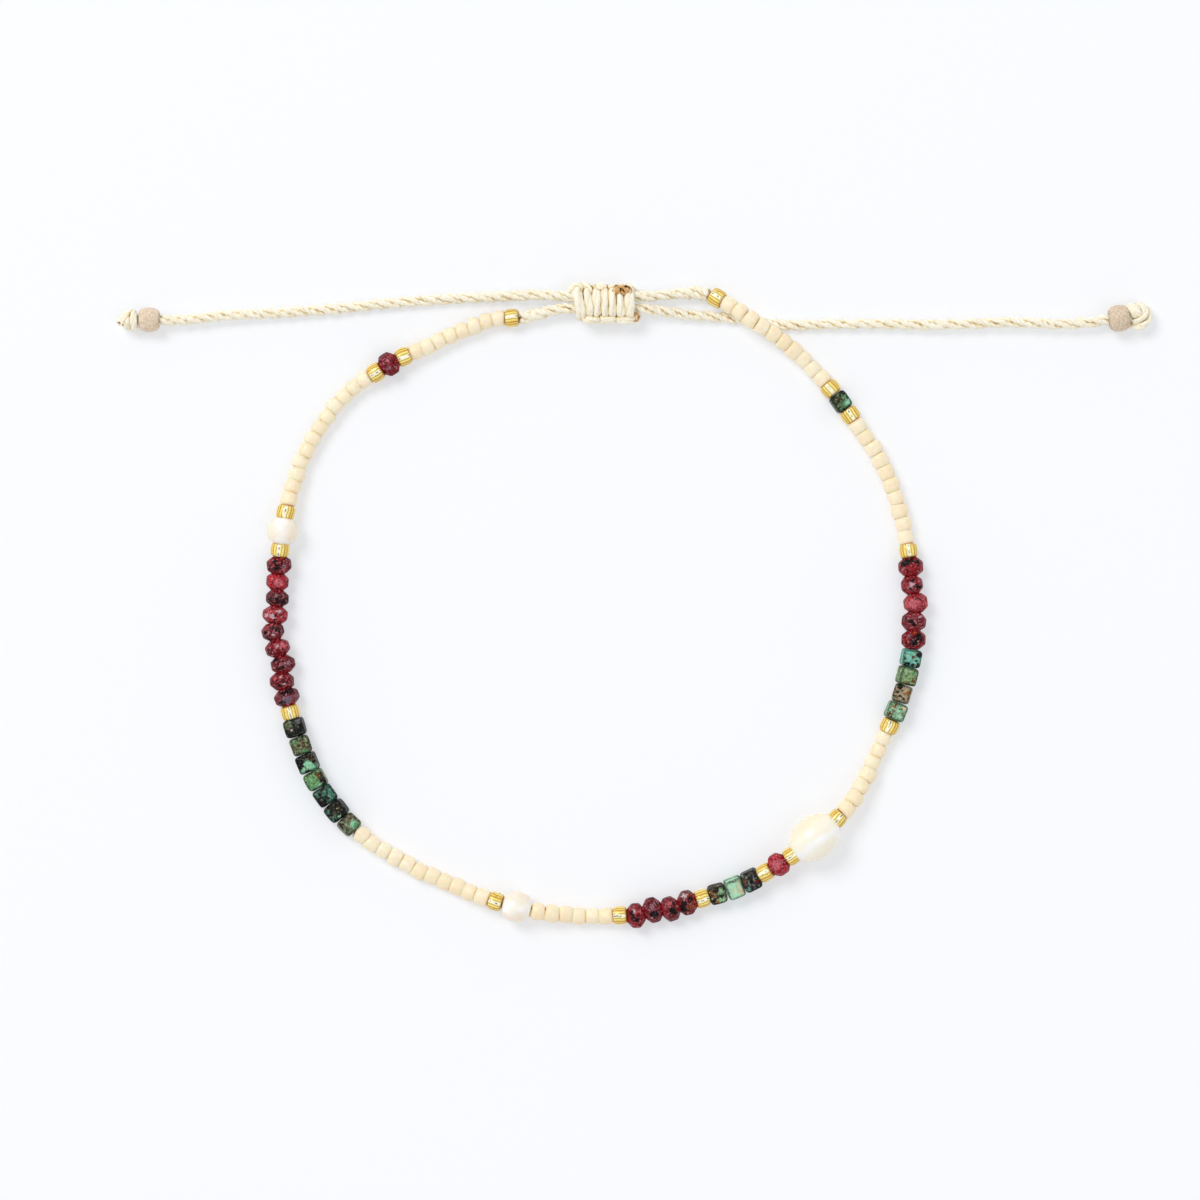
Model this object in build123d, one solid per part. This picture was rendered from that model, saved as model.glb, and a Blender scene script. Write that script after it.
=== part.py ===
from build123d import *

import math
import os

# A beaded anklet lying flat. A strand of seed beads, stone beads and pearls is closed into
# a loop by two waxed cords, which run side by side through a sliding knot and end in a wood
# stopper bead and a knot each. Millimetres, +Z up, the surface it lies on is Z = 0, and the
# origin is under the middle of the loop.

# ---- driving dimensions ----
BEAD_GAP = 0.16          # clear space between one bead and the next
THREAD_DIA = 0.8         # thread that joins the beads of one row
CREAM_DIA = 2.2
CREAM_EDGE = 0.42        # rounding of a seed bead's rims
GOLD_DIA = 2.4
GOLD_EDGE = 0.3
RUBY_DIA = 3.1
RUBY_END_DIA = 1.5       # flat round the hole of a rondelle
RUBY_GIRDLE = 0.7        # height of the band of facets round its middle
RUBY_SIDES = 12
CUBE_EDGE = 0.4          # rounding of a stone cube's edges
SMALL_PEARL = (4.1, 3.6)   # diameter, full length
LARGE_PEARL = (5.6, 7.0)
PEARL_FLATTEST = 0.95      # a pearl's ends are ground flat to at least this share of its length
PEARL_CUP_DIA = 2.9        # hollow at the large pearl's ends, where the gold beads sit

CORD_DIA = 1.35
CORD_GAP = 0.1           # clearance round a cord in a wood bead
CORD_SPACING = 1.45      # from one cord to the other in the sliding knot
SLOT_GAP = 0.13          # clearance round the pair of cords there
ARC_SHARE = 0.45         # share of the shorter run that a bend takes up

KNOT_WRAPS = 7
KNOT_PITCH = 1.3         # length of cord that one wrap takes
KNOT_WIDTH = 5.5
KNOT_HEIGHT = 3.8
KNOT_EDGE = 0.42         # rounding of each wrap
KNOT_MID = (1.05, 39.06)
KNOT_LEAN = 5            # degrees by which the wraps lean
TIP_DIA = 1.35           # melted ends of the knot's own cords

WOOD_EDGE = 0.7          # rounding of a wood bead's rims
END_KNOT_CORE = (1.9, 2.1, 2.3)   # what the wraps of an end knot cross
END_KNOT_CORD = 1.45     # thickness of the cord that is wrapped round it

# ---- the strand's rows, in order round the loop: kind, number of beads, length of each ----
ROWS = [
    ("gold", 1, 1.80), ("cream", 8, 1.66), ("gold", 1, 1.80), ("ruby", 1, 2.33),
    ("gold", 1, 1.80), ("cream", 12, 1.71), ("gold", 1, 1.80), ("small_pearl", 1, 3.10),
    ("gold", 1, 1.80), ("ruby", 9, 2.17), ("gold", 1, 1.80), ("turquoise", 7, 2.43),
    ("cream", 11, 1.78), ("gold", 1, 1.80), ("small_pearl", 1, 3.85), ("cream", 6, 1.79),
    ("gold", 1, 1.80), ("ruby", 4, 2.28), ("gold", 1, 1.80), ("turquoise", 3, 2.36),
    ("gold", 1, 1.80), ("ruby", 1, 2.30), ("gold", 1, 1.80), ("large_pearl", 1, 5.75),
    ("gold", 1, 1.80), ("cream", 7, 1.74), ("gold", 1, 1.80), ("turquoise", 4, 2.40),
    ("ruby", 5, 2.38), ("gold", 1, 1.80), ("cream", 10, 1.77), ("gold", 1, 1.80),
    ("turquoise", 1, 2.45), ("gold", 1, 1.80), ("cream", 10, 1.72), ("gold", 1, 1.80),
]

# The rondelles' holes aren't quite central: sideways shift of each, towards the left hand
# of someone walking along the strand, in strand order.
RUBY_SHIFTS = [
    0.0,
    0.05, 0.05, 0.15, 0.0, -0.4, 0.0, 0.42, -0.15, 0.05,
    -0.3, 0.12, -0.2, 0.0,
    0.0,
    0.0, 0.15, -0.15, 0.15, 0.05,
]
# The cubes are cut unevenly: side of each, and how far it is turned about the thread, in
# degrees, in strand order.
CUBE_SIDES = [2.55, 2.6, 2.6, 2.7, 2.65, 2.65, 2.6, 2.4, 2.65, 2.65, 2.65, 2.35, 2.35, 2.6, 2.35]
CUBE_ROLLS = [4, -8, 6, 3, -5, 8, -12, 12, 10, 5, 4, -8, 14, 6, 4]

# ---- route of the strand in plan, from the left cord's end round to the other ----
STRAND_ROUTE = [
    (-9.8, 37.1), (-14.2, 36.6), (-20.2, 34.1), (-26.7, 31.0), (-32.4, 26.9), (-36.5, 21.6),
    (-39.2, 15.2), (-40.5, 8.6), (-41.3, 0.5), (-41.0, -6.6), (-39.3, -14.6), (-36.2, -22.9),
    (-31.6, -28.9), (-25.7, -33.1), (-17.7, -36.9), (-9.9, -39.4), (-1.9, -40.6), (5.2, -40.3),
    (12.2, -38.8), (20.3, -36.0), (28.5, -30.5), (33.8, -25.2), (36.9, -19.2), (40.0, -11.8),
    (41.6, -4.0), (41.4, 2.7), (40.1, 10.4), (37.8, 17.4), (33.2, 24.6), (28.3, 30.6),
    (21.7, 36.0), (15.2, 40.1),
]
# Next to a tall bead the strand falls away to the surface: steepest fall, and the length
# over which it curves down to that.
FALL = 0.27
FALL_KNEE = 3.0
# Where the right-hand cord passes under the strand: distance along the strand back from its
# end, and the height that the strand is lifted to there.
CROSSING_BACK = 6.3
CROSSING_HEIGHT = 2.62

# ---- routes of the cords, from the strand's end to the end knot ----
CORD_RIGHT = [
    (-9.65, 37.12, 1.2), (-8.3, 37.3, 1.14), (-6.6, 37.75, 1.3), (-4.7, 38.22, 1.8),
    (-2.2, 38.33, 1.9), (1.0, 38.35, 1.91), (4.2, 38.33, 1.89), (7.0, 38.2, 1.8),
    (9.5, 37.85, 1.25), (12.6, 37.45, 0.82), (16.2, 37.25, 0.69), (20.4, 36.75, 0.68),
    (25.0, 36.1, 0.72), (30.5, 36.3, 0.85), (37.0, 36.35, 1.02), (44.0, 36.15, 1.18),
    (50.5, 36.4, 1.34), (55.5, 36.5, 1.45), (60.0, 36.25, 1.56), (63.4, 36.35, 1.64),
    (65.9, 36.7, 1.7), (67.8, 36.98, 1.76), (69.6, 37.2, 1.86),
]
CORD_LEFT = [
    (14.9, 40.2, 1.25), (13.3, 40.4, 1.1), (11.3, 40.27, 1.15), (9.1, 39.98, 1.5),
    (6.9, 39.84, 1.82), (4.2, 39.79, 1.9), (1.0, 39.8, 1.91), (-2.2, 39.78, 1.89),
    (-4.8, 39.9, 1.8), (-7.3, 40.15, 1.35), (-10.8, 39.95, 0.98), (-15.6, 39.75, 0.8),
    (-21.4, 39.45, 0.76), (-27.3, 38.95, 0.76), (-33.0, 38.3, 0.81), (-38.4, 37.9, 0.93),
    (-43.4, 37.6, 1.09), (-47.9, 37.45, 1.23), (-51.6, 36.95, 1.35), (-54.4, 36.75, 1.45),
    (-56.8, 36.78, 1.55), (-58.95, 36.85, 1.63),
]
# Wood beads and end knots: middle, direction of the cord there, and their sizes.
WOOD_RIGHT = ((68.15, 37.02, 1.77), (1.8, 0.236, 0.1))
WOOD_RIGHT_SIZE = (3.4, 2.65)
WOOD_LEFT = ((-57.75, 36.82, 1.6), (-2.35, 0.07, 0.1))
WOOD_LEFT_SIZE = (3.1, 2.6)
# Stretches of cord that make up each end knot, from end to end.
END_RIGHT = [((70.4, 38.2, 1.9), (70.5, 36.9, 2.2)), ((71.6, 38.1, 1.3), (71.7, 36.7, 1.5)),
             ((70.4, 36.5, 1.1), (71.6, 36.5, 0.9))]
END_LEFT = [((-59.95, 37.6, 1.8), (-59.95, 36.1, 1.9)), ((-61.0, 37.5, 1.4), (-60.6, 36.4, 1.2)),
            ((-61.6, 36.7, 1.0), (-60.9, 36.3, 0.9))]


# ---- where the beads lie ----
def smooth_line(points, steps):
    """Points along a smooth curve that passes through the given ones."""
    before = tuple(2 * a - b for a, b in zip(points[0], points[1]))
    after = tuple(2 * a - b for a, b in zip(points[-1], points[-2]))
    spread = [before, *points, after]
    line = []
    for a, b, c, d in zip(spread, spread[1:], spread[2:], spread[3:]):
        for step in range(steps):
            t = step / steps
            line.append(tuple(
                0.5 * (2 * q + (r - p) * t + (2 * p - 5 * q + 4 * r - s) * t**2
                       + (3 * q - p - 3 * r + s) * t**3)
                for p, q, r, s in zip(a, b, c, d)))
    line.append(tuple(points[-1]))
    return line


def distances(line):
    """Distance of each point along a line from its first point."""
    along = [0.0]
    for a, b in zip(line, line[1:]):
        along.append(along[-1] + math.dist(a, b))
    return along


def point_at(line, along, distance):
    """Point on a line at a distance from its start."""
    index = 1
    while index < len(line) - 1 and along[index] < distance:
        index += 1
    share = (distance - along[index - 1]) / (along[index] - along[index - 1])
    return tuple(a + (b - a) * share for a, b in zip(line[index - 1], line[index]))


def rest_height(bead):
    """Height of a bead's hole when the bead lies on the surface."""
    if bead["kind"] == "turquoise":
        turn = math.radians(abs(bead["roll"]))
        reach = math.cos(turn) + math.sin(turn)
        return (bead["side"] / 2 - CUBE_EDGE) * reach + CUBE_EDGE
    diameters = {"cream": CREAM_DIA, "gold": GOLD_DIA, "ruby": RUBY_DIA,
                 "small_pearl": SMALL_PEARL[0], "large_pearl": LARGE_PEARL[0]}
    return diameters[bead["kind"]] / 2


def fall(distance):
    """How far the strand has dropped at a distance from a tall bead."""
    return FALL * distance**2 / (distance + FALL_KNEE) if distance > 0 else 0


def strand_beads():
    """Every bead in order: its kind, row, ends, and its own shift, side and roll."""
    line = smooth_line(STRAND_ROUTE, 24)
    along = distances(line)
    stretch = along[-1] / sum(count * length for _, count, length in ROWS)
    shifts = iter(RUBY_SHIFTS)
    cubes = iter(zip(CUBE_SIDES, CUBE_ROLLS))
    beads = []
    start = 0.0
    for row, (kind, count, length) in enumerate(ROWS):
        for _ in range(count):
            side, roll = next(cubes) if kind == "turquoise" else (0, 0)
            beads.append({
                "kind": kind, "row": row, "from": start, "to": start + length * stretch,
                "shift": next(shifts) if kind == "ruby" else 0, "side": side, "roll": roll})
            start += length * stretch
    supports = [(bead["from"], bead["to"], rest_height(bead)) for bead in beads]
    crossing = along[-1] - CROSSING_BACK
    supports.append((crossing, crossing, CROSSING_HEIGHT))

    def joint(distance):
        height = max(top - fall(max(low - distance, distance - high))
                     for low, high, top in supports)
        return (*point_at(line, along, distance), height)

    for bead in beads:
        bead["start"] = Vector(*joint(bead["from"]))
        bead["end"] = Vector(*joint(bead["to"]))
    return beads


def bead_place(bead):
    """Location of a bead: its hole along local Z, its left side towards local X."""
    axis = (bead["end"] - bead["start"]).normalized()
    left = Vector(-axis.Y, axis.X, 0).normalized()
    middle = (bead["start"] + bead["end"]) * 0.5 + left * bead["shift"]
    plane = Plane(origin=middle, x_dir=left, z_dir=axis)
    return plane.location * Rot(0, 0, bead["roll"])


# ---- shapes of the beads, each round local Z ----
def rounded_rod(diameter, length, edge):
    rod = Cylinder(diameter / 2, length)
    return fillet(rod.edges().filter_by(GeomType.CIRCLE), edge)


def cream_bead(length):
    return rounded_rod(CREAM_DIA, length, CREAM_EDGE)


def gold_bead(length):
    return rounded_rod(GOLD_DIA, length, GOLD_EDGE)


def ruby_bead(length):
    """Faceted rondelle: a band of flat facets between two rings of sloping ones."""
    sections = [(-length / 2, RUBY_END_DIA), (-RUBY_GIRDLE / 2, RUBY_DIA),
                (RUBY_GIRDLE / 2, RUBY_DIA), (length / 2, RUBY_END_DIA)]
    rings = [Plane.XY.offset(z) * RegularPolygon(diameter / 2, RUBY_SIDES)
             for z, diameter in sections]
    return loft(rings, ruled=True)


def turquoise_bead(side, length):
    cube = Box(side, side, length)
    return fillet(cube.edges(), CUBE_EDGE)


def pearl(size, length):
    """Egg-shaped pearl, ground flat at its ends to the given length."""
    radius, half = size[0] / 2, size[1] / 2
    flat = length / 2
    end_angle = math.degrees(math.asin(flat / half))
    with BuildSketch(Plane.XZ) as profile:
        with BuildLine():
            side = EllipticalCenterArc((0, 0), radius, half, -end_angle, arc_size=2 * end_angle)
            Polyline(side @ 1, (0, flat), (0, -flat), side @ 0)
        make_face()
    return revolve(profile.sketch, Axis.Z)


def small_pearl(length):
    return pearl(SMALL_PEARL, min(length, SMALL_PEARL[1] * PEARL_FLATTEST))


def large_pearl(length):
    """Long pearl with a shallow cup at each end, into which the next bead reaches."""
    body_length = LARGE_PEARL[1] * PEARL_FLATTEST
    cup_depth = (body_length - length) / 2
    body = pearl(LARGE_PEARL, body_length)
    for side in (-1, 1):
        middle = side * (length + cup_depth) / 2
        body -= Pos(0, 0, middle) * Cylinder(PEARL_CUP_DIA / 2, cup_depth)
    return body


SHAPES = {"cream": cream_bead, "gold": gold_bead, "ruby": ruby_bead,
          "small_pearl": small_pearl, "large_pearl": large_pearl}


def placed_bead(bead):
    length = (bead["end"] - bead["start"]).length - BEAD_GAP
    if bead["kind"] == "turquoise":
        shape = turquoise_bead(bead["side"], length)
    else:
        shape = SHAPES[bead["kind"]](length)
    return bead_place(bead) * shape


def thread_between(first, second):
    """Stretch of thread from the middle of one bead to the middle of the next."""
    start, end = bead_place(first).position, bead_place(second).position
    span = end - start
    plane = Plane(origin=(start + end) * 0.5, z_dir=span.normalized())
    return plane.location * Cylinder(THREAD_DIA / 2, span.length)


def bead_row(beads):
    """A row of equal beads, one solid with the thread that joins them."""
    threads = [thread_between(a, b) for a, b in zip(beads, beads[1:])]
    return Part() + [placed_bead(b) for b in beads] + threads


def strand_nodes():
    """Node name and solid of each row of the strand."""
    names = {"cream": "cream_beads_{}", "ruby": "ruby_beads_{}", "gold": "gold_bead_{:02d}",
             "turquoise": "turquoise_beads_{}", "small_pearl": "small_pearl_{}",
             "large_pearl": "large_pearl"}
    beads = strand_beads()
    seen = dict.fromkeys(names, 0)
    nodes = {}
    for row, (kind, _, _) in enumerate(ROWS):
        seen[kind] += 1
        nodes[names[kind].format(seen[kind])] = bead_row([b for b in beads if b["row"] == row])
    return nodes


# ---- cords and what is on them ----
def cord_radii(points):
    """Radius of the bend at each inner point of a cord's route."""
    radii = []
    for a, b, c in zip(points, points[1:], points[2:]):
        before, after = Vector(*b) - Vector(*a), Vector(*c) - Vector(*b)
        half_turn = math.radians(before.get_angle(after)) / 2
        radii.append(ARC_SHARE * min(before.length, after.length) / math.tan(half_turn))
    return radii


def cord(name, points):
    """Tube along a route of straight runs and tangent arcs."""
    radii = cord_radii(points)
    path = FilletPolyline(*points, radius=radii)
    section = Plane(origin=path @ 0, z_dir=path % 0) * Circle(CORD_DIA / 2)
    tube = sweep(section, path)
    expected = math.pi * CORD_DIA**2 / 4 * path.length
    print(name, "bend radii", [round(r, 1) for r in radii])
    print(name, "length", round(path.length, 2), "volume", round(tube.volume, 2),
          "section x length", round(expected, 2))
    return tube


def wood_bead(place, size):
    """Barrel-shaped wood bead with a hole for the cord."""
    diameter, length = size
    barrel = rounded_rod(diameter, length, WOOD_EDGE)
    barrel -= Cylinder(CORD_DIA / 2 + CORD_GAP, length)
    middle, direction = place
    return Plane(origin=middle, z_dir=direction).location * barrel


def end_knot(wraps):
    """Overhand knot: short stretches of cord crossing a core, one of them the cut end."""
    starts = [Vector(*start) for start, _ in wraps]
    ends = [Vector(*end) for _, end in wraps]
    middle = sum(starts + ends, Vector()) / (2 * len(wraps))
    core = fillet(Box(*END_KNOT_CORE).edges(), END_KNOT_CORE[2] * 0.35)
    knot = Pos(middle.X, middle.Y, END_KNOT_CORE[2] / 2 + 0.15) * core
    for start, end in zip(starts, ends):
        span = end - start
        plane = Plane(origin=(start + end) * 0.5, z_dir=span.normalized())
        stretch = rounded_rod(END_KNOT_CORD, span.length + END_KNOT_CORD, END_KNOT_CORD * 0.35)
        knot += plane.location * stretch
    return knot


def knot_wrap():
    """One turn of cord round the pair of cords, as a rounded slab."""
    slab = extrude(Plane.YZ * SlotOverall(KNOT_WIDTH, KNOT_HEIGHT), KNOT_PITCH * 1.02)
    slab = Pos(-KNOT_PITCH * 0.51, 0, 0) * slab
    rims = slab.edges().filter_by(lambda e: abs(abs(e.center().X) - KNOT_PITCH * 0.51) < 1e-3)
    return fillet(rims, KNOT_EDGE)


def melted_tip(start, end):
    """Burnt end of one of the knot's own cords."""
    reach = Vector(*end) - Vector(*start)
    plane = Plane(origin=(Vector(*start) + Vector(*end)) * 0.5, z_dir=reach.normalized())
    return plane.location * rounded_rod(TIP_DIA, reach.length + TIP_DIA, TIP_DIA * 0.4)


def sliding_knot():
    """Sleeve of square knots, with one slot that both cords pass through."""
    sleeve = Part()
    first = -(KNOT_WRAPS - 1) / 2 * KNOT_PITCH
    for wrap in range(KNOT_WRAPS):
        sway = 0.12 * (-1) ** wrap
        place = Pos(first + wrap * KNOT_PITCH, sway, 0)
        sleeve += place * Rot(0, 0, -KNOT_LEAN) * knot_wrap()
    slot = SlotOverall(CORD_SPACING + CORD_DIA + 2 * SLOT_GAP, CORD_DIA + 2 * SLOT_GAP)
    sleeve -= extrude(Plane.YZ * slot, KNOT_WRAPS * KNOT_PITCH, both=True)
    sleeve = Pos(KNOT_MID[0], KNOT_MID[1], KNOT_HEIGHT / 2) * sleeve
    sleeve += melted_tip((3.0, 40.95, 3.0), (4.2, 40.85, 3.0))
    sleeve += melted_tip((4.3, 36.85, 1.3), (5.05, 36.9, 1.3))
    return sleeve


def all_nodes():
    nodes = strand_nodes()
    nodes["cord_right"] = cord("cord_right", CORD_RIGHT)
    nodes["cord_left"] = cord("cord_left", CORD_LEFT)
    nodes["wood_bead_right"] = wood_bead(WOOD_RIGHT, WOOD_RIGHT_SIZE)
    nodes["wood_bead_left"] = wood_bead(WOOD_LEFT, WOOD_LEFT_SIZE)
    nodes["end_knot_right"] = end_knot(END_RIGHT)
    nodes["end_knot_left"] = end_knot(END_LEFT)
    nodes["sliding_knot"] = sliding_knot()
    return nodes


os.makedirs("parts", exist_ok=True)
for node, solid in all_nodes().items():
    export_step(solid, f"parts/{node}.step")
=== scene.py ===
import math
import random
from bisect import bisect_left

import bpy
from mathutils import Matrix, Vector, kdtree, noise


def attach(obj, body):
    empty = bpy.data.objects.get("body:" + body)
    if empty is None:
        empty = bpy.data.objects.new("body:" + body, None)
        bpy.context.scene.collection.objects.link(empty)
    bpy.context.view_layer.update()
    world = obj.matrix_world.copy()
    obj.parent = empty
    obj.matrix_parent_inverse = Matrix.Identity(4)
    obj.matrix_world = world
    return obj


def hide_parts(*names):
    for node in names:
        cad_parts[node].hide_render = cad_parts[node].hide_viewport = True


# The beaded anklet's looks. Its sizes are millimetres, as in the part's own source, and every
# mesh is scaled to metres when it is made. Camera, lamps, floor and bumps are in metres.

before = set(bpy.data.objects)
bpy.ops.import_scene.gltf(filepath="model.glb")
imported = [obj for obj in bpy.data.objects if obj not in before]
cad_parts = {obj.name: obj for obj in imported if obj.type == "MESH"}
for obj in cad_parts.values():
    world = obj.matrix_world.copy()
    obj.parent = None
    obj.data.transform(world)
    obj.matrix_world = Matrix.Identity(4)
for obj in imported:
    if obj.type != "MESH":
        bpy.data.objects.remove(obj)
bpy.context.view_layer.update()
MM = 0.001

# ---- sizes of the beads and cords ----
CREAM_DIA = 2.2
GOLD_DIA = 2.4
RUBY_DIA = 3.1
CUBE_EDGE = 0.4  # rounding of a stone cube's edges
SMALL_PEARL = (4.1, 3.6)  # diameter and length, as for each pearl and wood bead
LARGE_PEARL = (5.6, 7.0)
BEAD_GAP = 0.04
HOLE_DIA = 0.9
HOLE_RIM = 0.12  # how deep a hole's edge is rounded
CORD_DIA = 1.35
PLY_PITCH = 2.2
CORD_STEP = 0.2  # between two rings of a cord's strands
KNOT_STEP = 0.13
KNOT_MIDDLE = 39.06  # Y of the sliding knot's middle
# Creases between a knot's wraps get painted shade.
CREASE_REACH = 0.95  # how near two wraps are where a crease can lie between them
WOOD_RIGHT = ((68.15, 37.02, 1.77), (1.8, 0.236, 0.1))  # middle, and direction of the hole
WOOD_RIGHT_SIZE = (3.4, 2.65)
WOOD_LEFT = ((-57.75, 36.82, 1.6), (-2.35, 0.07, 0.1))
WOOD_LEFT_SIZE = (3.1, 2.6)

# ---- the cords' strands: how far out they lie and how wide they are, by the cord's radius ----
LOOSE_LIE = (0.53, 0.49)
TIGHT_LIE = (0.38, 0.62)
PLY_OFFSET = 0.33
PLY_WIDTH = 0.76

# ---- camera, light and floor, in metres ----
CAMERA_PLACE = (0.00078, 0.00045, 0.6)
CAMERA_LENS = 138.3
OVERHEAD_LIGHT = 0.35
FLOOR_OWN_WHITE = 0.43
FLOOR_REACH = 2.0
FLOOR_DROP = 0.00002

# ---- the strand's rows, in order round the loop: kind, number of beads, length of each ----
GOLD = ("gold", 1, 1.8)
ROWS = [
    GOLD, ("cream", 8, 1.66), GOLD, ("ruby", 1, 2.33), GOLD, ("cream", 12, 1.71), GOLD,
    ("small_pearl", 1, 3.1), GOLD, ("ruby", 9, 2.17), GOLD, ("turquoise", 7, 2.43),
    ("cream", 11, 1.78), GOLD, ("small_pearl", 1, 3.85), ("cream", 6, 1.79), GOLD,
    ("ruby", 4, 2.28), GOLD, ("turquoise", 3, 2.36), GOLD, ("ruby", 1, 2.3), GOLD,
    ("large_pearl", 1, 5.75), GOLD, ("cream", 7, 1.74), GOLD, ("turquoise", 4, 2.4),
    ("ruby", 5, 2.38), GOLD, ("cream", 10, 1.77), GOLD, ("turquoise", 1, 2.45), GOLD,
    ("cream", 10, 1.72), GOLD,
]

# How far each rondelle sits to the left of the thread, each cube's side, and its turn about the
# thread in degrees.
RUBY_SHIFTS = [
    0.0,
    0.05, 0.05, 0.15, 0.0, -0.4, 0.0, 0.42, -0.15, 0.05,
    -0.3, 0.12, -0.2, 0.0,
    0.0,
    0.0, 0.15, -0.15, 0.15, 0.05,
]
CUBE_SIDES = [2.55, 2.6, 2.6, 2.7, 2.65, 2.65, 2.6, 2.4, 2.65, 2.65, 2.65, 2.35, 2.35, 2.6, 2.35]
CUBE_ROLLS = [4, -8, 6, 3, -5, 8, -12, 12, 10, 5, 4, -8, 14, 6, 4]

# ---- route of the strand, and how it falls away from tall beads and the crossing ----
STRAND_ROUTE = [
    (-9.8, 37.1), (-14.2, 36.6), (-20.2, 34.1), (-26.7, 31.0), (-32.4, 26.9), (-36.5, 21.6),
    (-39.2, 15.2), (-40.5, 8.6), (-41.3, 0.5), (-41.0, -6.6), (-39.3, -14.6), (-36.2, -22.9),
    (-31.6, -28.9), (-25.7, -33.1), (-17.7, -36.9), (-9.9, -39.4), (-1.9, -40.6), (5.2, -40.3),
    (12.2, -38.8), (20.3, -36.0), (28.5, -30.5), (33.8, -25.2), (36.9, -19.2), (40.0, -11.8),
    (41.6, -4.0), (41.4, 2.7), (40.1, 10.4), (37.8, 17.4), (33.2, 24.6), (28.3, 30.6),
    (21.7, 36.0), (15.2, 40.1),
]
FALL = 0.27
FALL_KNEE = 3.0
CROSSING_BACK = 6.3
CROSSING_HEIGHT = 2.62

# ---- routes of the cords, from the strand's end to the end knot ----
CORD_RIGHT = [
    (-9.65, 37.12, 1.2), (-8.3, 37.3, 1.14), (-6.6, 37.75, 1.3), (-4.7, 38.22, 1.8),
    (-2.2, 38.33, 1.9), (1.0, 38.35, 1.91), (4.2, 38.33, 1.89), (7.0, 38.2, 1.8),
    (9.5, 37.85, 1.25), (12.6, 37.45, 0.82), (16.2, 37.25, 0.69), (20.4, 36.75, 0.68),
    (25.0, 36.1, 0.72), (30.5, 36.3, 0.85), (37.0, 36.35, 1.02), (44.0, 36.15, 1.18),
    (50.5, 36.4, 1.34), (55.5, 36.5, 1.45), (60.0, 36.25, 1.56), (63.4, 36.35, 1.64),
    (65.9, 36.7, 1.7), (67.8, 36.98, 1.76), (69.6, 37.2, 1.86),
]
CORD_LEFT = [
    (14.9, 40.2, 1.25), (13.3, 40.4, 1.1), (11.3, 40.27, 1.15), (9.1, 39.98, 1.5),
    (6.9, 39.84, 1.82), (4.2, 39.79, 1.9), (1.0, 39.8, 1.91), (-2.2, 39.78, 1.89),
    (-4.8, 39.9, 1.8), (-7.3, 40.15, 1.35), (-10.8, 39.95, 0.98), (-15.6, 39.75, 0.8),
    (-21.4, 39.45, 0.76), (-27.3, 38.95, 0.76), (-33.0, 38.3, 0.81), (-38.4, 37.9, 0.93),
    (-43.4, 37.6, 1.09), (-47.9, 37.45, 1.23), (-51.6, 36.95, 1.35), (-54.4, 36.75, 1.45),
    (-56.8, 36.78, 1.55), (-58.95, 36.85, 1.63),
]


# ---- where the beads lie ----
def smooth_line(points, steps):
    """Points along a smooth curve that passes through the given ones."""
    before = tuple(2 * a - b for a, b in zip(points[0], points[1]))
    after = tuple(2 * a - b for a, b in zip(points[-1], points[-2]))
    spread = [before, *points, after]
    line = []
    for a, b, c, d in zip(spread, spread[1:], spread[2:], spread[3:]):
        for step in range(steps):
            t = step / steps
            line.append(tuple(
                0.5 * (2 * q + (r - p) * t + (2 * p - 5 * q + 4 * r - s) * t**2
                       + (3 * q - p - 3 * r + s) * t**3)
                for p, q, r, s in zip(a, b, c, d)))
    line.append(tuple(points[-1]))
    return line


def distances(line):
    """Distance of each point along a line from its first point."""
    along = [0.0]
    for a, b in zip(line, line[1:]):
        along.append(along[-1] + math.dist(a, b))
    return along


def point_at(line, along, distance):
    """Point on a line at a distance from its start."""
    index = min(max(bisect_left(along, distance), 1), len(line) - 1)
    span = along[index] - along[index - 1]
    share = (distance - along[index - 1]) / span if span > 0 else 0
    return Vector(line[index - 1]).lerp(Vector(line[index]), share)


def turned_to(middle, direction):
    """Matrix with its origin in the middle, local Z along a direction and local X to its left."""
    axis = Vector(direction).normalized()
    left = Vector((-axis.y, axis.x, 0)).normalized()
    turn = Matrix((left, axis.cross(left), axis)).transposed().to_4x4()
    return Matrix.Translation(Vector(middle)) @ turn


def rest_height(bead):
    """Height of a bead's hole when the bead lies on the surface."""
    if bead["kind"] == "turquoise":
        turn = math.radians(abs(bead["roll"]))
        reach = math.cos(turn) + math.sin(turn)
        return (bead["side"] / 2 - CUBE_EDGE) * reach + CUBE_EDGE
    diameters = {"cream": CREAM_DIA, "gold": GOLD_DIA, "ruby": RUBY_DIA,
                 "small_pearl": SMALL_PEARL[0], "large_pearl": LARGE_PEARL[0]}
    return diameters[bead["kind"]] / 2


def fall(distance):
    """How far the strand has dropped at a distance from a tall bead."""
    return FALL * distance**2 / (distance + FALL_KNEE) if distance > 0 else 0


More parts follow.
